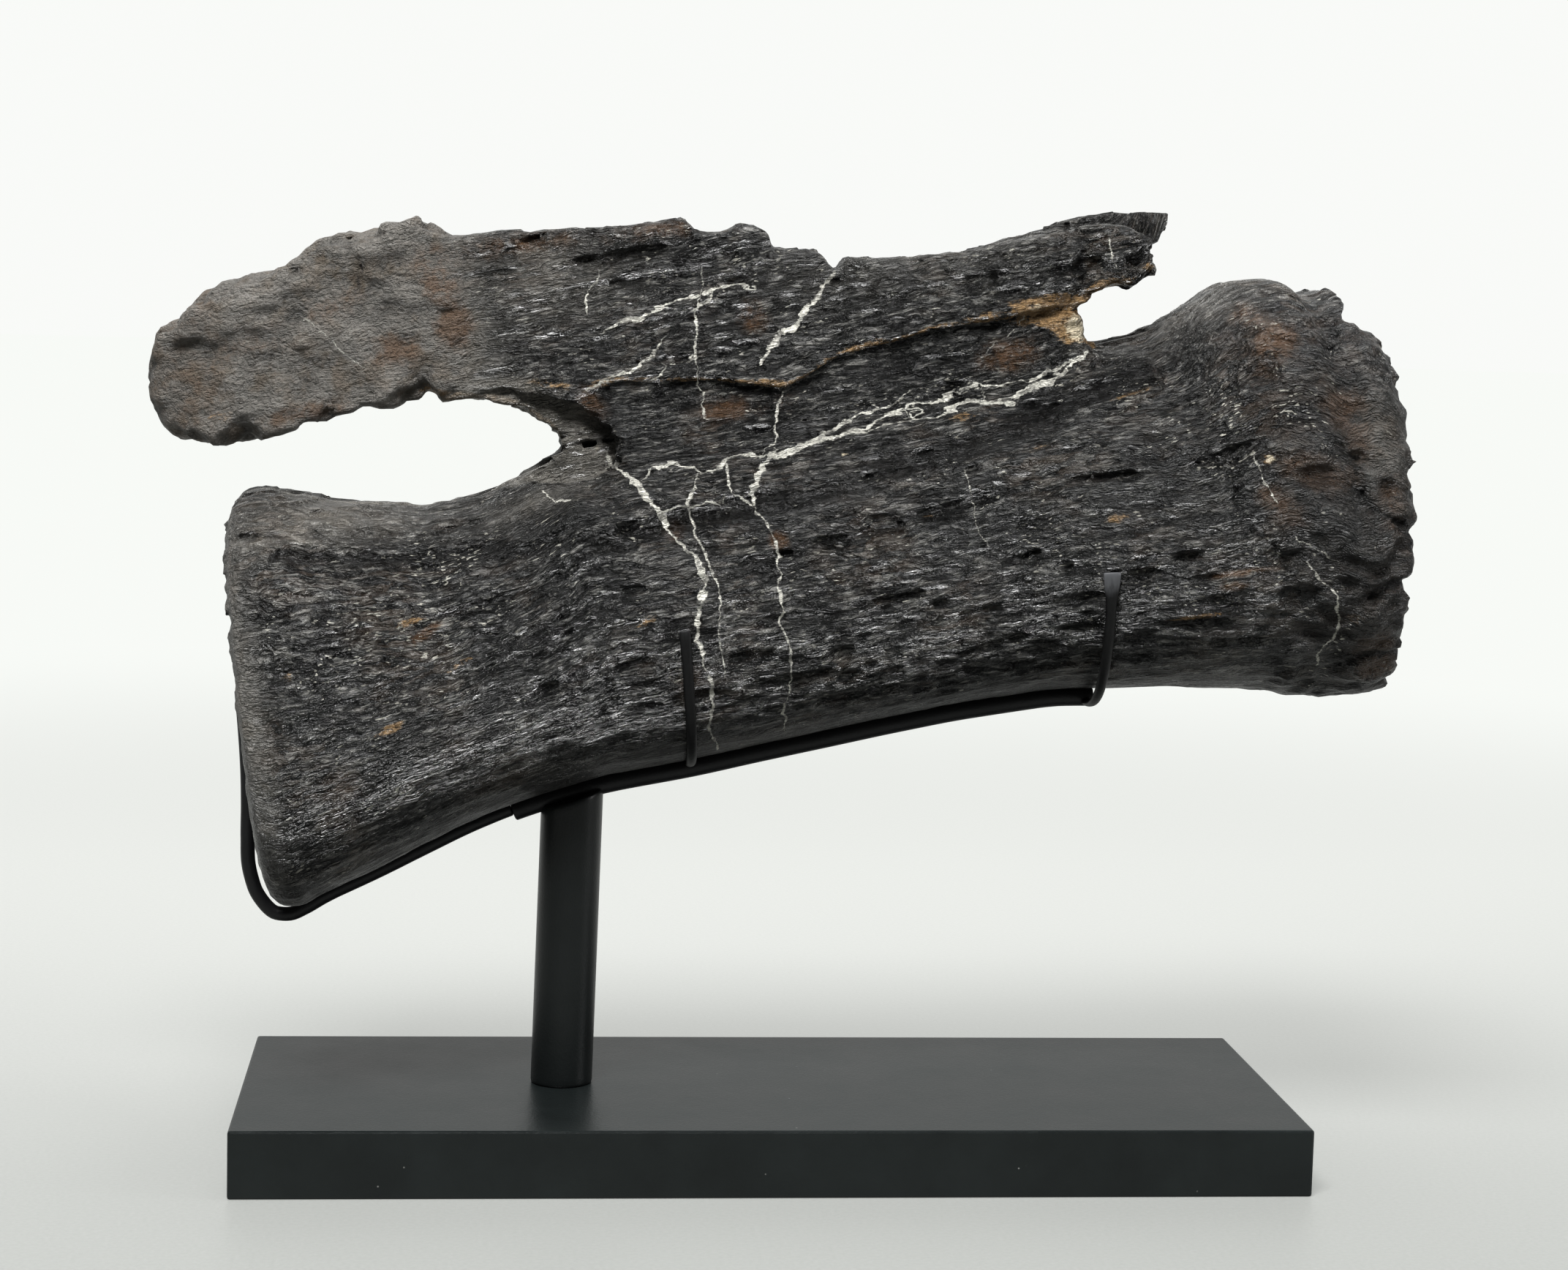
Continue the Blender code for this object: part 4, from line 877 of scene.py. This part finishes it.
# Noises: threads, scales, chips and seams along the grain, and grit, crumbs and patches that have none
wander = grain.stretch(0.09, 0.14, 0.14).noise(1.0, 2.0, 0.5, out=1)
lines = grain.shift(wander, 3.2)
tear = lines.stretch(0.7, 1.7, 1.7).noise(1.0, 3.0, 0.6, out=1)
scales = lines.stretch(0.22, 0.80, 0.80).shift(tear, 0.7)
scale_edge = scales.cells(1.0, "DISTANCE_TO_EDGE").rise(0.0, 0.17)
scale_tone = scales.cells(1.0, out=1).axis(0)
chips = scales.stretch(1.5, 1.45, 1.45)
facet = chips.cells(1.0)
facet_tilt = chips.less(facet.also(2)).dot(facet.also(1).less((0.5, 0.5, 0.5)))
facet_tone = facet.also(1).axis(1)
fibres = lines.stretch(0.19, 1.0, 1.0).noise(1.0, 4.0, 0.62)
threads = lines.stretch(0.9, 3.4, 3.4).noise(1.0, 3.0, 0.6)
grit = place.noise(0.85, 5.0, 0.68)
crumbs = place.shift(place.noise(0.9, 2.0, 0.5, out=1), 1.2).cells(0.5, "DISTANCE_TO_EDGE").rise(0.0, 0.25)
broad = place.noise(0.045, 3.0, 0.55)
patchy = place.noise(0.16, 3.0, 0.6)

long_seam = abs(lines.stretch(0.085, 0.42, 0.42).noise(1.0, 3.0, 0.55) - 0.5).rise(0.0, 0.045)
seam = abs(lines.stretch(0.17, 0.8, 0.8).shift(tear, 0.5).noise(1.0, 2.0, 0.5) - 0.5).rise(0.0, 0.055)
seams = long_seam * 0.55 + seam * 0.45

# The height of the fine relief, and how light the stone is, along the grain or loose where it is granular.
# The lightness follows the relief: painted shade down in the seams, scale edges and pits, and painted light
# on the fibres' crests, over the stone's own tone.
loose = granular * 0.7
along_height = fibres * 1.7 + seams * 0.75 + scale_edge * 0.20 + scale_tone * 0.35
along_height = along_height + threads * 0.25 + facet_tilt * 0.9
grit_height = grit * 1.9 + crumbs * 0.40 + facet_tilt * 0.4 + patchy * 2.0 + seams * 0.3
height = along_height * (1.0 - loose) + grit_height * loose
tone_and_painted_relief_shade = fibres * 1.9 + scale_tone * 0.30 + facet_tone * 0.26 + seams * 0.42 + scale_edge * 0.12 - 1.26
tone_and_painted_relief_shade = tone_and_painted_relief_shade + threads * 0.3 + (broad - 0.5) * 0.9 + (patchy - 0.5) * 0.5
tone_and_painted_relief_shade = tone_and_painted_relief_shade * (1.0 - loose) + (grit * 2.0 + crumbs * 0.25 + patchy * 1.3 - 1.36) * loose
# Painted light and shade: the relief's height lightens the stone on its crests and darkens it in the cracks
crest = start.node("ShaderNodeAttribute", {"attribute_name": "crest"}, out=2)
tone_and_painted_relief_shade = tone_and_painted_relief_shade + crest * 0.07

# The veins, frayed by the grit and broken up along their length
white = None
uneven = place.noise(0.30, 2.0, 0.6).rise(0.34, 0.66)
for number in range(4):
    layer = start.node("ShaderNodeAttribute", {"attribute_name": f"vein_{number}"}, out=1)
    off, half = layer.axis(0) + (grit - 0.5) * 1.3 + (patchy - 0.5) * 0.9, layer.axis(1)
    edge = half * (0.22 + uneven * 0.72) + (threads - 0.5) * 0.7 - abs(off)
    mask = edge.rise(-0.08, 0.14) * half.rise(0.10, 0.26)
    white = mask if white is None else white.most(mask)
white_patch = white * (0.30 + place.noise(0.4, 4.0, 0.7).rise(0.36, 0.58) * 0.70)

# Colours laid over one another, from the bare stone to the white of the veins
base = tone_and_painted_relief_shade.ramp(
    (0.14, (0.0010, 0.0010, 0.0010)), (0.36, (0.0056, 0.0057, 0.0056)), (0.52, (0.0160, 0.0161, 0.0156)),
    (0.70, (0.044, 0.0435, 0.0415)), (0.98, (0.16, 0.157, 0.147)),
)
base = base.tint((0.034, 0.021, 0.012), broad.rise(0.46, 0.66) * scale_tone.rise(0.2, 0.8) * 0.6)
weathered = (grit * 1.1 + crest * 0.16 + 0.06).rise(-0.25, 0.95)
base = base.tint((0.220, 0.208, 0.188), dull.least(1.0) * weathered)
base = base.tint((0.095, 0.075, 0.050), dull.least(1.0) * patchy.rise(0.48, 0.64) * (1.0 - crest * 0.3) * 0.5)
base = base.tint((0.090, 0.047, 0.021), (rusty * (patchy * 2.2 + grit * 1.4 - 1.1)).rise(0.08, 0.60) * 0.75)
clay_share = (grit * 1.4 + patchy * 0.8 - 0.6).rise(0.1, 0.9)
clay = clay_share.ramp((0.0, (0.100, 0.060, 0.027)), (1.0, (0.37, 0.245, 0.125)))
base = base.tint(clay, (ochre * (0.25 + grit * 1.3 + (fibres - 0.5) * 2.0)).rise(0.42, 0.80))
base = base.tint((0.62, 0.54, 0.40), (cream * (0.15 + grit * 1.6 + (patchy - 0.5))).rise(0.5, 0.8))
base = base.tint((0.20, 0.19, 0.17), raw * (0.25 + grit * 0.9))
# Painted shade: the dark patches and the turned-in lower edge darken the stone almost to black
base = base.tint((0.0025, 0.0025, 0.0025), (painted_shade * (0.5 + patchy)).rise(0.2, 0.95) * 0.72)
# Painted shade: the open cracks darkened almost to black by their depth
painted_crack_shade = start.node("ShaderNodeAttribute", {"attribute_name": "open"}, out=2)
sparkle = start.node("ShaderNodeAttribute", {"attribute_name": "sparkle"}, out=2)
base = base.tint((0.002, 0.0018, 0.0015), (painted_crack_shade * (0.2 + grit + patchy * 0.5)).rise(0.3, 0.8) * 0.85)
# Pale specks along the grain: small crystals and painted glints where flakes would catch the light
crystal_and_painted_glint = lines.stretch(0.55, 1.7, 1.7).noise(1.0, 1.5, 0.5) + sparkle * 0.06
crystal_and_painted_glint = crystal_and_painted_glint.rise(0.655, 0.70) * (place.noise(0.13, 2.0, 0.5) + sparkle * 0.16).rise(0.52, 0.66)
base = base.tint((0.34, 0.33, 0.29), crystal_and_painted_glint * (1.0 - dull.least(1.0) * 0.8))
base = base.tint((0.66, 0.645, 0.58), white_patch)
join(shader, base, "Base Color")

gloss = 0.28 + (patchy - 0.5) * 0.30 - facet_tone * 0.14
rough = gloss + dull.least(1.0) * 0.34 + granular * 0.08 + painted_shade * 0.20 + white * 0.25 - crystal_and_painted_glint * 0.12
join(shader, rough.most(0.14), "Roughness")
join(shader, bump(height + white * 0.4, 1.15), "Normal")
vertebra.data.materials.append(stone)

# The base slab
# A flat steel slab that the stand rises from, its edges broken with a file and sprayed satin black.
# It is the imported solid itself; only its paint is made here.


def black_paint(name, colour, gloss, orange_peel, dust):
    """Sprayed black enamel: a fine orange peel, cloudy gloss, and a few pale dust specks."""
    made, shader, start = new_finish(name, IOR=1.45, Specular_IOR_Level=0.42)
    place = start.node("ShaderNodeTexCoord", out=3).stretch(1000.0, 1000.0, 1000.0)
    cloud = place.noise(0.05, 3.0, 0.6)
    peel = place.noise(1.6, 3.0, 0.5)
    specks = (1.0 - place.cells(0.22)).rise(0.93, 0.985) * place.noise(0.21, 1.0, 0.5).rise(0.55, 0.62)
    base = cloud.ramp((0.3, tuple(c * 0.8 for c in colour)), (0.7, tuple(c * 1.25 for c in colour)))
    base = base.tint((0.22, 0.22, 0.21), specks * dust)
    join(shader, base, "Base Color")
    join(shader, gloss + (cloud - 0.5) * 0.14 + peel * 0.06 + specks * 0.2, "Roughness")
    join(shader, bump(peel + cloud * 0.5, orange_peel), "Normal")
    return made


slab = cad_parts["stand_base"]
slab_paint = black_paint("satin_black_slab_paint", (0.0105, 0.0132, 0.0132), 0.30, 0.05, 0.8)
slab.material_slots[0].material = slab_paint

# The post
# A round steel post, welded to the slab at its foot and cut along the bar at its top, leaning a little
# forward. Its lengths are millimetres in the room.

POST_RADIUS = 7.7
POST_FOOT = np.array([-51.0, 0.0, 16.5])
POST_TOP = 88.9
POST_LEAN = 0.021
POST_TOP_SLOPE = 0.315


def grid_faces(count, sides):
    """Squares between rings of equal count, and the numbers of the two poles that close the ends."""
    i, j = (a.ravel() for a in np.meshgrid(np.arange(count - 1), np.arange(sides), indexing="ij"))
    k = (j + 1) % sides
    squares = np.stack([i * sides + j, i * sides + k, (i + 1) * sides + k, (i + 1) * sides + j], -1)
    j = np.arange(sides)
    k = (j + 1) % sides
    end = (count - 1) * sides
    fans = [np.stack([np.full(sides, count * sides), k, j], -1),
            np.stack([np.full(sides, count * sides + 1), end + j, end + k], -1)]
    return squares, np.concatenate(fans)


def post_surface():
    """Circles stacked from foot to top: each shrinks near the ends by a small worn edge, is moved sideways
    with its height, and is tilted in proportion to its height until the last lies along the bar."""
    share = np.array([0.0, 0.0, 0.004, 0.012, 0.03, 0.2, 0.4, 0.6, 0.8, 0.97, 0.985, 0.995, 1.0, 1.0])
    radius = POST_RADIUS * np.array([0.5, 0.955, 0.985, 1, 1, 1, 1, 1, 1, 1, 1, 0.985, 0.955, 0.5])
    angle = np.linspace(0.0, 2.0 * np.pi, 96, endpoint=False)
    x = radius[:, None] * np.cos(angle)
    y = radius[:, None] * np.sin(angle)
    height = POST_TOP - POST_FOOT[2]
    z = POST_FOOT[2] + share[:, None] * (height + POST_TOP_SLOPE * x)
    x = POST_FOOT[0] + x + POST_LEAN * height * share[:, None]
    rings = np.stack([x, y, z], -1)
    return np.concatenate([rings.reshape(-1, 3), rings[:1].mean(1), rings[-1:].mean(1)]), len(share), 96


points, count, sides = post_surface()
post = put_mesh("steel_post", points * 0.001, *grid_faces(count, sides))
post.data.materials.append(black_paint("post_black_enamel", (0.0095, 0.0112, 0.0112), 0.33, 0.04, 0.4))
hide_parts("stand_post")
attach(post, "root")

# The bar and the rear rod
# A round steel bar bent to the bone's underside, and a thinner rod from its rear end round the lower corner
# and up the rear face. Both are forged hot to the bone, welded at the post and painted matt black. Their
# points are millimetres along the bone (u), across it (y) and up from its axis (v).

BAR_RADIUS = 2.5
ROD_RADIUS = 1.75
STAND_OFF = 0.05
rod_bend = np.array([
    (-138.6, -56.6), (-142.4, -57.6), (-145.8, -56.9), (-148.4, -54.0), (-150.2, -49.4), (-150.7, -44.0),
    (-149.9, -37.0), (-148.6, -29.0), (-147.4, -20.0), (-146.5, -10.0), (-145.9, -1.0),
])


def even_path(path, count):
    """The same curve at even steps, through cubic pieces between its points."""
    length = np.concatenate([[0.0], np.cumsum(np.linalg.norm(np.diff(path, axis=0), axis=1))])
    table = np.column_stack([length, path])
    return np.stack(rows(table, np.linspace(0.0, length[-1], count)), -1)


def sweep(path, across, wide, deep, sides=40):
    """An oval carried along a path: rings square to the path, `wide` to each side of it along the given
    direction and `deep` to each side along the third, with three shrinking rings and a pole at each end."""
    tangent = np.gradient(path, axis=0)
    tangent /= np.linalg.norm(tangent, axis=1)[:, None]
    over = np.cross(tangent, across)
    over /= np.linalg.norm(over, axis=1)[:, None]
    side = np.cross(over, tangent)
    wide, deep = np.broadcast_to(wide, len(path)), np.broadcast_to(deep, len(path))
    angle = np.linspace(0.0, 2.0 * np.pi, sides, endpoint=False)
    ring = side[:, None] * np.cos(angle)[None, :, None] * wide[:, None, None]
    ring = ring + over[:, None] * np.sin(angle)[None, :, None] * deep[:, None, None]
    shrink = np.array([0.55, 0.85, 0.96])
    rings = np.concatenate([
        path[:1, None] + ring[:1] * shrink[:, None, None],
        path[:, None] + ring,
        path[-1:, None] + ring[-1:] * shrink[::-1, None, None],
    ])
    reach = 0.22 * deep[0]
    rings[:3] -= tangent[0] * (np.array([1.0, 0.8, 0.4]) * reach)[:, None, None]
    rings[-3:] += tangent[-1] * (np.array([0.4, 0.8, 1.0]) * reach)[:, None, None]
    points = np.concatenate([rings.reshape(-1, 3), rings[:1].mean(1), rings[-1:].mean(1)])
    return points, grid_faces(len(rings), sides)


def underside(u):
    """The bone's lowest line at u, read where the leaning section meets it."""
    low = rows(centrum_stations, u)[1]
    return rows(centrum_stations, u - lean(u) * (low + 5.0))[1]


def forged(name, path, across, wide, deep, node, finish):
    """One rod, bar or finger of the stand: swept along its path, painted, and put in place of its node."""
    points, faces = sweep(path, across, wide, deep)
    made = put_mesh(name, to_room(points), *faces)
    made.data.materials.append(finish)
    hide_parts(node)
    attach(made, "root")
    return made, points


u = np.linspace(-84.0, 63.0, 34)
bar_path = np.stack([u, np.zeros_like(u), underside(u) - STAND_OFF - BAR_RADIUS], -1)
bar_finish = black_paint("bar_black_enamel", (0.011, 0.011, 0.012), 0.42, 0.09, 0.3)
forged("steel_bar", even_path(bar_path, 90), (0.0, 1.0, 0.0), BAR_RADIUS, BAR_RADIUS, "stand_bar",
       bar_finish)

u = np.linspace(-85.1, -134.0, 16)
rod_path = np.concatenate([np.stack([u, underside(u) - STAND_OFF - ROD_RADIUS], -1), rod_bend])
rod_path = np.stack([rod_path[:, 0], np.zeros(len(rod_path)), rod_path[:, 1]], -1)
rod_finish = black_paint("rod_black_enamel", (0.011, 0.011, 0.012), 0.40, 0.08, 0.3)
forged("steel_rod_rear", even_path(rod_path, 150), (0.0, 1.0, 0.0), ROD_RADIUS, ROD_RADIUS, "stand_rod_rear",
       rod_finish)

# The prongs
# Four flat steel fingers, two to a side, brazed to the bar and bent close up the bone's flanks to hold it.
# The front pair ends in hammered paddles. The black turns lighter grey towards the tips.

PRONG_TOP = 1.8
PRONG_HALF_WIDTH = 1.28
PRONG_HALF_DEPTH = 0.95
PRONG_STAND_OFF = 1.1
# Each pair: x in the room at the foot and at the tip, how far the foot is let down, the half width that its
# tip gains, the length that turns grey and how much
prong_pairs = {
    "rear": ((-20.6, -24.3), 0.0, 0.1, 6.0, 0.35),
    "front": ((79.0, 77.4), 2.0, 0.85, 9.0, 1.0),
}


def prong_path(ends, side, drop):
    """Round the bone's section from under the middle to its widest place, held off it by half a finger's
    depth, with the foot let down from it, and leaning from one x at the foot to another at the tip."""
    turn = np.radians(np.linspace(-88.0, -1.0, 80))
    middle_u = (0.5 * sum(ends) - BONE_PLACE[0]) / math.cos(BONE_PITCH)
    top, bottom, half = (float(a) for a in rows(centrum_stations, middle_u))
    power = 2.0 / float(rows(squareness, middle_u)[1])
    y = half * np.cos(turn) ** power
    v = 0.5 * (top + bottom) - 0.5 * (top - bottom) * np.abs(np.sin(turn)) ** power
    along = np.gradient(np.stack([y, v], -1), axis=0)
    along /= np.linalg.norm(along, axis=1)[:, None]
    off = STAND_OFF + PRONG_STAND_OFF + drop * (1.0 - ease(-80.0, -35.0, np.degrees(turn)))
    y, v = y + along[:, 1] * off, v - along[:, 0] * off
    keep = (y > BAR_RADIUS) & (v < PRONG_TOP)
    y = np.concatenate([[BAR_RADIUS - 0.4], y[keep], [y[keep][-1]]])
    v = np.concatenate([[v[keep][0]], v[keep], [PRONG_TOP]])
    x = ends[0] + (ends[1] - ends[0]) * (v - v[0]) / (v[-1] - v[0])
    u = (x - BONE_PLACE[0] + v * math.sin(BONE_PITCH)) / math.cos(BONE_PITCH)
    return even_path(np.stack([u, side * y, v], -1), 70)


prong_finish, shader, start = new_finish("prong_black_enamel", IOR=1.45, Specular_IOR_Level=0.35)
place = start.node("ShaderNodeTexCoord", out=3).stretch(1000.0, 1000.0, 1000.0)
greying_share = start.node("ShaderNodeAttribute", {"attribute_name": "handled"}, out=2)
strokes = place.stretch(1.0, 1.0, 0.25).noise(1.1, 4.0, 0.6)
# The black turns lighter grey towards the tips
greying_tip = (greying_share * (0.5 + strokes)).rise(0.25, 0.95)
base = strokes.ramp((0.3, (0.0035, 0.0035, 0.0038)), (0.75, (0.008, 0.008, 0.0085)))
join(shader, base.tint((0.085, 0.087, 0.092), greying_tip), "Base Color")
join(shader, 0.42 + strokes * 0.16 - greying_tip * 0.06, "Roughness")
join(shader, bump(strokes, 0.12), "Normal")

for pair, (ends, drop, gain, reach, greying_amount) in prong_pairs.items():
    for side_name, side in (("near", -1.0), ("far", 1.0)):
        path = prong_path(ends, side, drop)
        rise = ease(PRONG_TOP - 9.0, PRONG_TOP, path[:, 2])
        wide = PRONG_HALF_WIDTH + gain * rise
        deep = PRONG_HALF_DEPTH - 0.25 * rise
        prong, points = forged(f"steel_prong_{pair}_{side_name}", path, (1.0, 0.0, 0.0), wide, deep,
                               f"stand_prong_{pair}_{side_name}", prong_finish)
        paint(prong, "handled", ease(PRONG_TOP - reach, PRONG_TOP, points[:, 2]) * greying_amount)

# The table, the light and the camera
# A pale table top that runs back into a white backdrop, lit by soft boxes over and in front of the specimen.
# The top also glows by itself, more towards the back, and its paint grades darker towards the front: painted
# light.
# The camera stands low in front, three quarters of a metre away. Lengths here are metres in the room.


def disc(radius, rings, sides):
    """A flat round surface: rings that grow with the square of their number, and a pole in the middle."""
    r = radius * np.linspace(0.0, 1.0, rings + 1)[1:] ** 2
    angle = np.linspace(0.0, 2.0 * np.pi, sides, endpoint=False)
    points = np.stack([r[:, None] * np.cos(angle), r[:, None] * np.sin(angle), 0.0 * r[:, None] * angle], -1)
    i, j = (a.ravel() for a in np.meshgrid(np.arange(rings - 1), np.arange(sides), indexing="ij"))
    k = (j + 1) % sides
    squares = np.stack([i * sides + j, (i + 1) * sides + j, (i + 1) * sides + k, i * sides + k], -1)
    j = np.arange(sides)
    fan = np.stack([np.full(sides, rings * sides), j, (j + 1) % sides], -1)
    return np.concatenate([points.reshape(-1, 3), [[0.0, 0.0, 0.0]]]), squares, fan


points, squares, fan = disc(12.0, 60, 128)
table = put_mesh("pale_table", points, squares, fan)
paper, shader, start = new_finish("paper_with_painted_glow", Roughness=0.45, Specular_IOR_Level=0.3, Emission_Strength=1.0)
place = start.node("ShaderNodeTexCoord", out=3)
far = place.axis(1).rise(-0.25, 0.42)
spread = place.node("ShaderNodeVectorMath", {"operation": "LENGTH"}, {0: place}, 1)
tooth = place.noise(900.0, 3.0, 0.6)
# Painted light: the paper grades darker towards the front and glows by itself, brighter towards the back,
# which softens the shadows on it
pale = far.ramp((0.0, (0.100, 0.103, 0.098)), (0.45, (0.125, 0.128, 0.123)), (1.0, (0.150, 0.153, 0.147)))
painted_table_glow = far.ramp((0.0, (0.205, 0.212, 0.202)), (0.45, (0.285, 0.291, 0.279)), (1.0, (0.400, 0.408, 0.392)))
join(shader, painted_table_glow, "Emission Color")
join(shader, pale.tint((0.70, 0.70, 0.69), tooth * 0.12), "Base Color")
join(shader, bump(tooth, 0.03), "Normal")
seen = start.node("ShaderNodeLightPath")
glow = start.node("ShaderNodeEmission", None, {"Color": (0.785, 0.800, 0.775, 1.0), "Strength": 1.0})
principled = Wire(paper.node_tree, shader.outputs[0])
both = start.node("ShaderNodeMixShader", None, {0: spread.rise(0.35, 1.10) * seen, 1: principled, 2: glow})
paper.node_tree.links.new(both.socket, paper.node_tree.nodes["Material Output"].inputs["Surface"])
paper.cycles.emission_sampling = "NONE"
table.data.materials.append(paper)

world = bpy.data.worlds.new("studio")
bpy.context.scene.world = world
world.use_nodes = True
sky = Wire(world.node_tree, None)
toward = sky.node("ShaderNodeTexCoord", out=0)
behind, above = toward.axis(1), toward.axis(2)
light = 0.05 + behind.rise(0.0, 0.8) * 0.50 + above.rise(0.3, 0.95) * 0.16
seen = sky.node("ShaderNodeLightPath")
strength = light * (1.0 - seen) + seen * 0.80
background = world.node_tree.nodes["Background"]
background.inputs["Color"].default_value = (0.99, 1.0, 0.98, 1.0)
world.node_tree.links.new(strength.socket, background.inputs["Strength"])


def soft_box(name, at, aim, width, height, watts):
    """A rectangular light at one place, turned to another."""
    lamp = bpy.data.lights.new(name, "AREA")
    lamp.shape, lamp.size, lamp.size_y, lamp.energy = "RECTANGLE", width, height, watts
    made = bpy.data.objects.new(name, lamp)
    made.location = at
    made.rotation_euler = (Vector(aim) - Vector(at)).to_track_quat("-Z", "Y").to_euler()
    bpy.context.scene.collection.objects.link(made)


soft_box("key_box", (-0.20, -0.60, 1.05), (0.0, 0.0, 0.14), 0.42, 0.32, 21.0)
soft_box("top_box", (0.10, 0.10, 1.20), (0.0, 0.0, 0.10), 0.9, 0.7, 8.0)
soft_box("side_box", (1.10, -0.35, 0.50), (0.0, 0.0, 0.12), 0.20, 0.6, 4.0)

camera_place = (-0.07092, -0.75714, 0.2129)
camera_data = bpy.data.cameras.new("view")
camera_data.sensor_width = 36.0
camera_data.lens = 70.52
camera_data.clip_start, camera_data.clip_end = 0.05, 60.0
camera = bpy.data.objects.new("view", camera_data)
yaw, pitch, roll = (math.radians(a) for a in (5.535, 6.214, 1.446))
ahead = Vector((math.sin(yaw) * math.cos(pitch), math.cos(yaw) * math.cos(pitch), -math.sin(pitch)))
level = Vector((math.cos(yaw), -math.sin(yaw), 0.0))
upright = level.cross(ahead)
right = level * math.cos(roll) + upright * math.sin(roll)
up = upright * math.cos(roll) - level * math.sin(roll)
turn = Matrix((right, up, -ahead)).transposed().to_4x4()
camera.matrix_world = Matrix.Translation(camera_place) @ turn
bpy.context.scene.collection.objects.link(camera)
bpy.context.scene.camera = camera
bpy.context.scene.view_settings.view_transform = "Standard"
bpy.context.scene.view_settings.look = "Medium High Contrast"
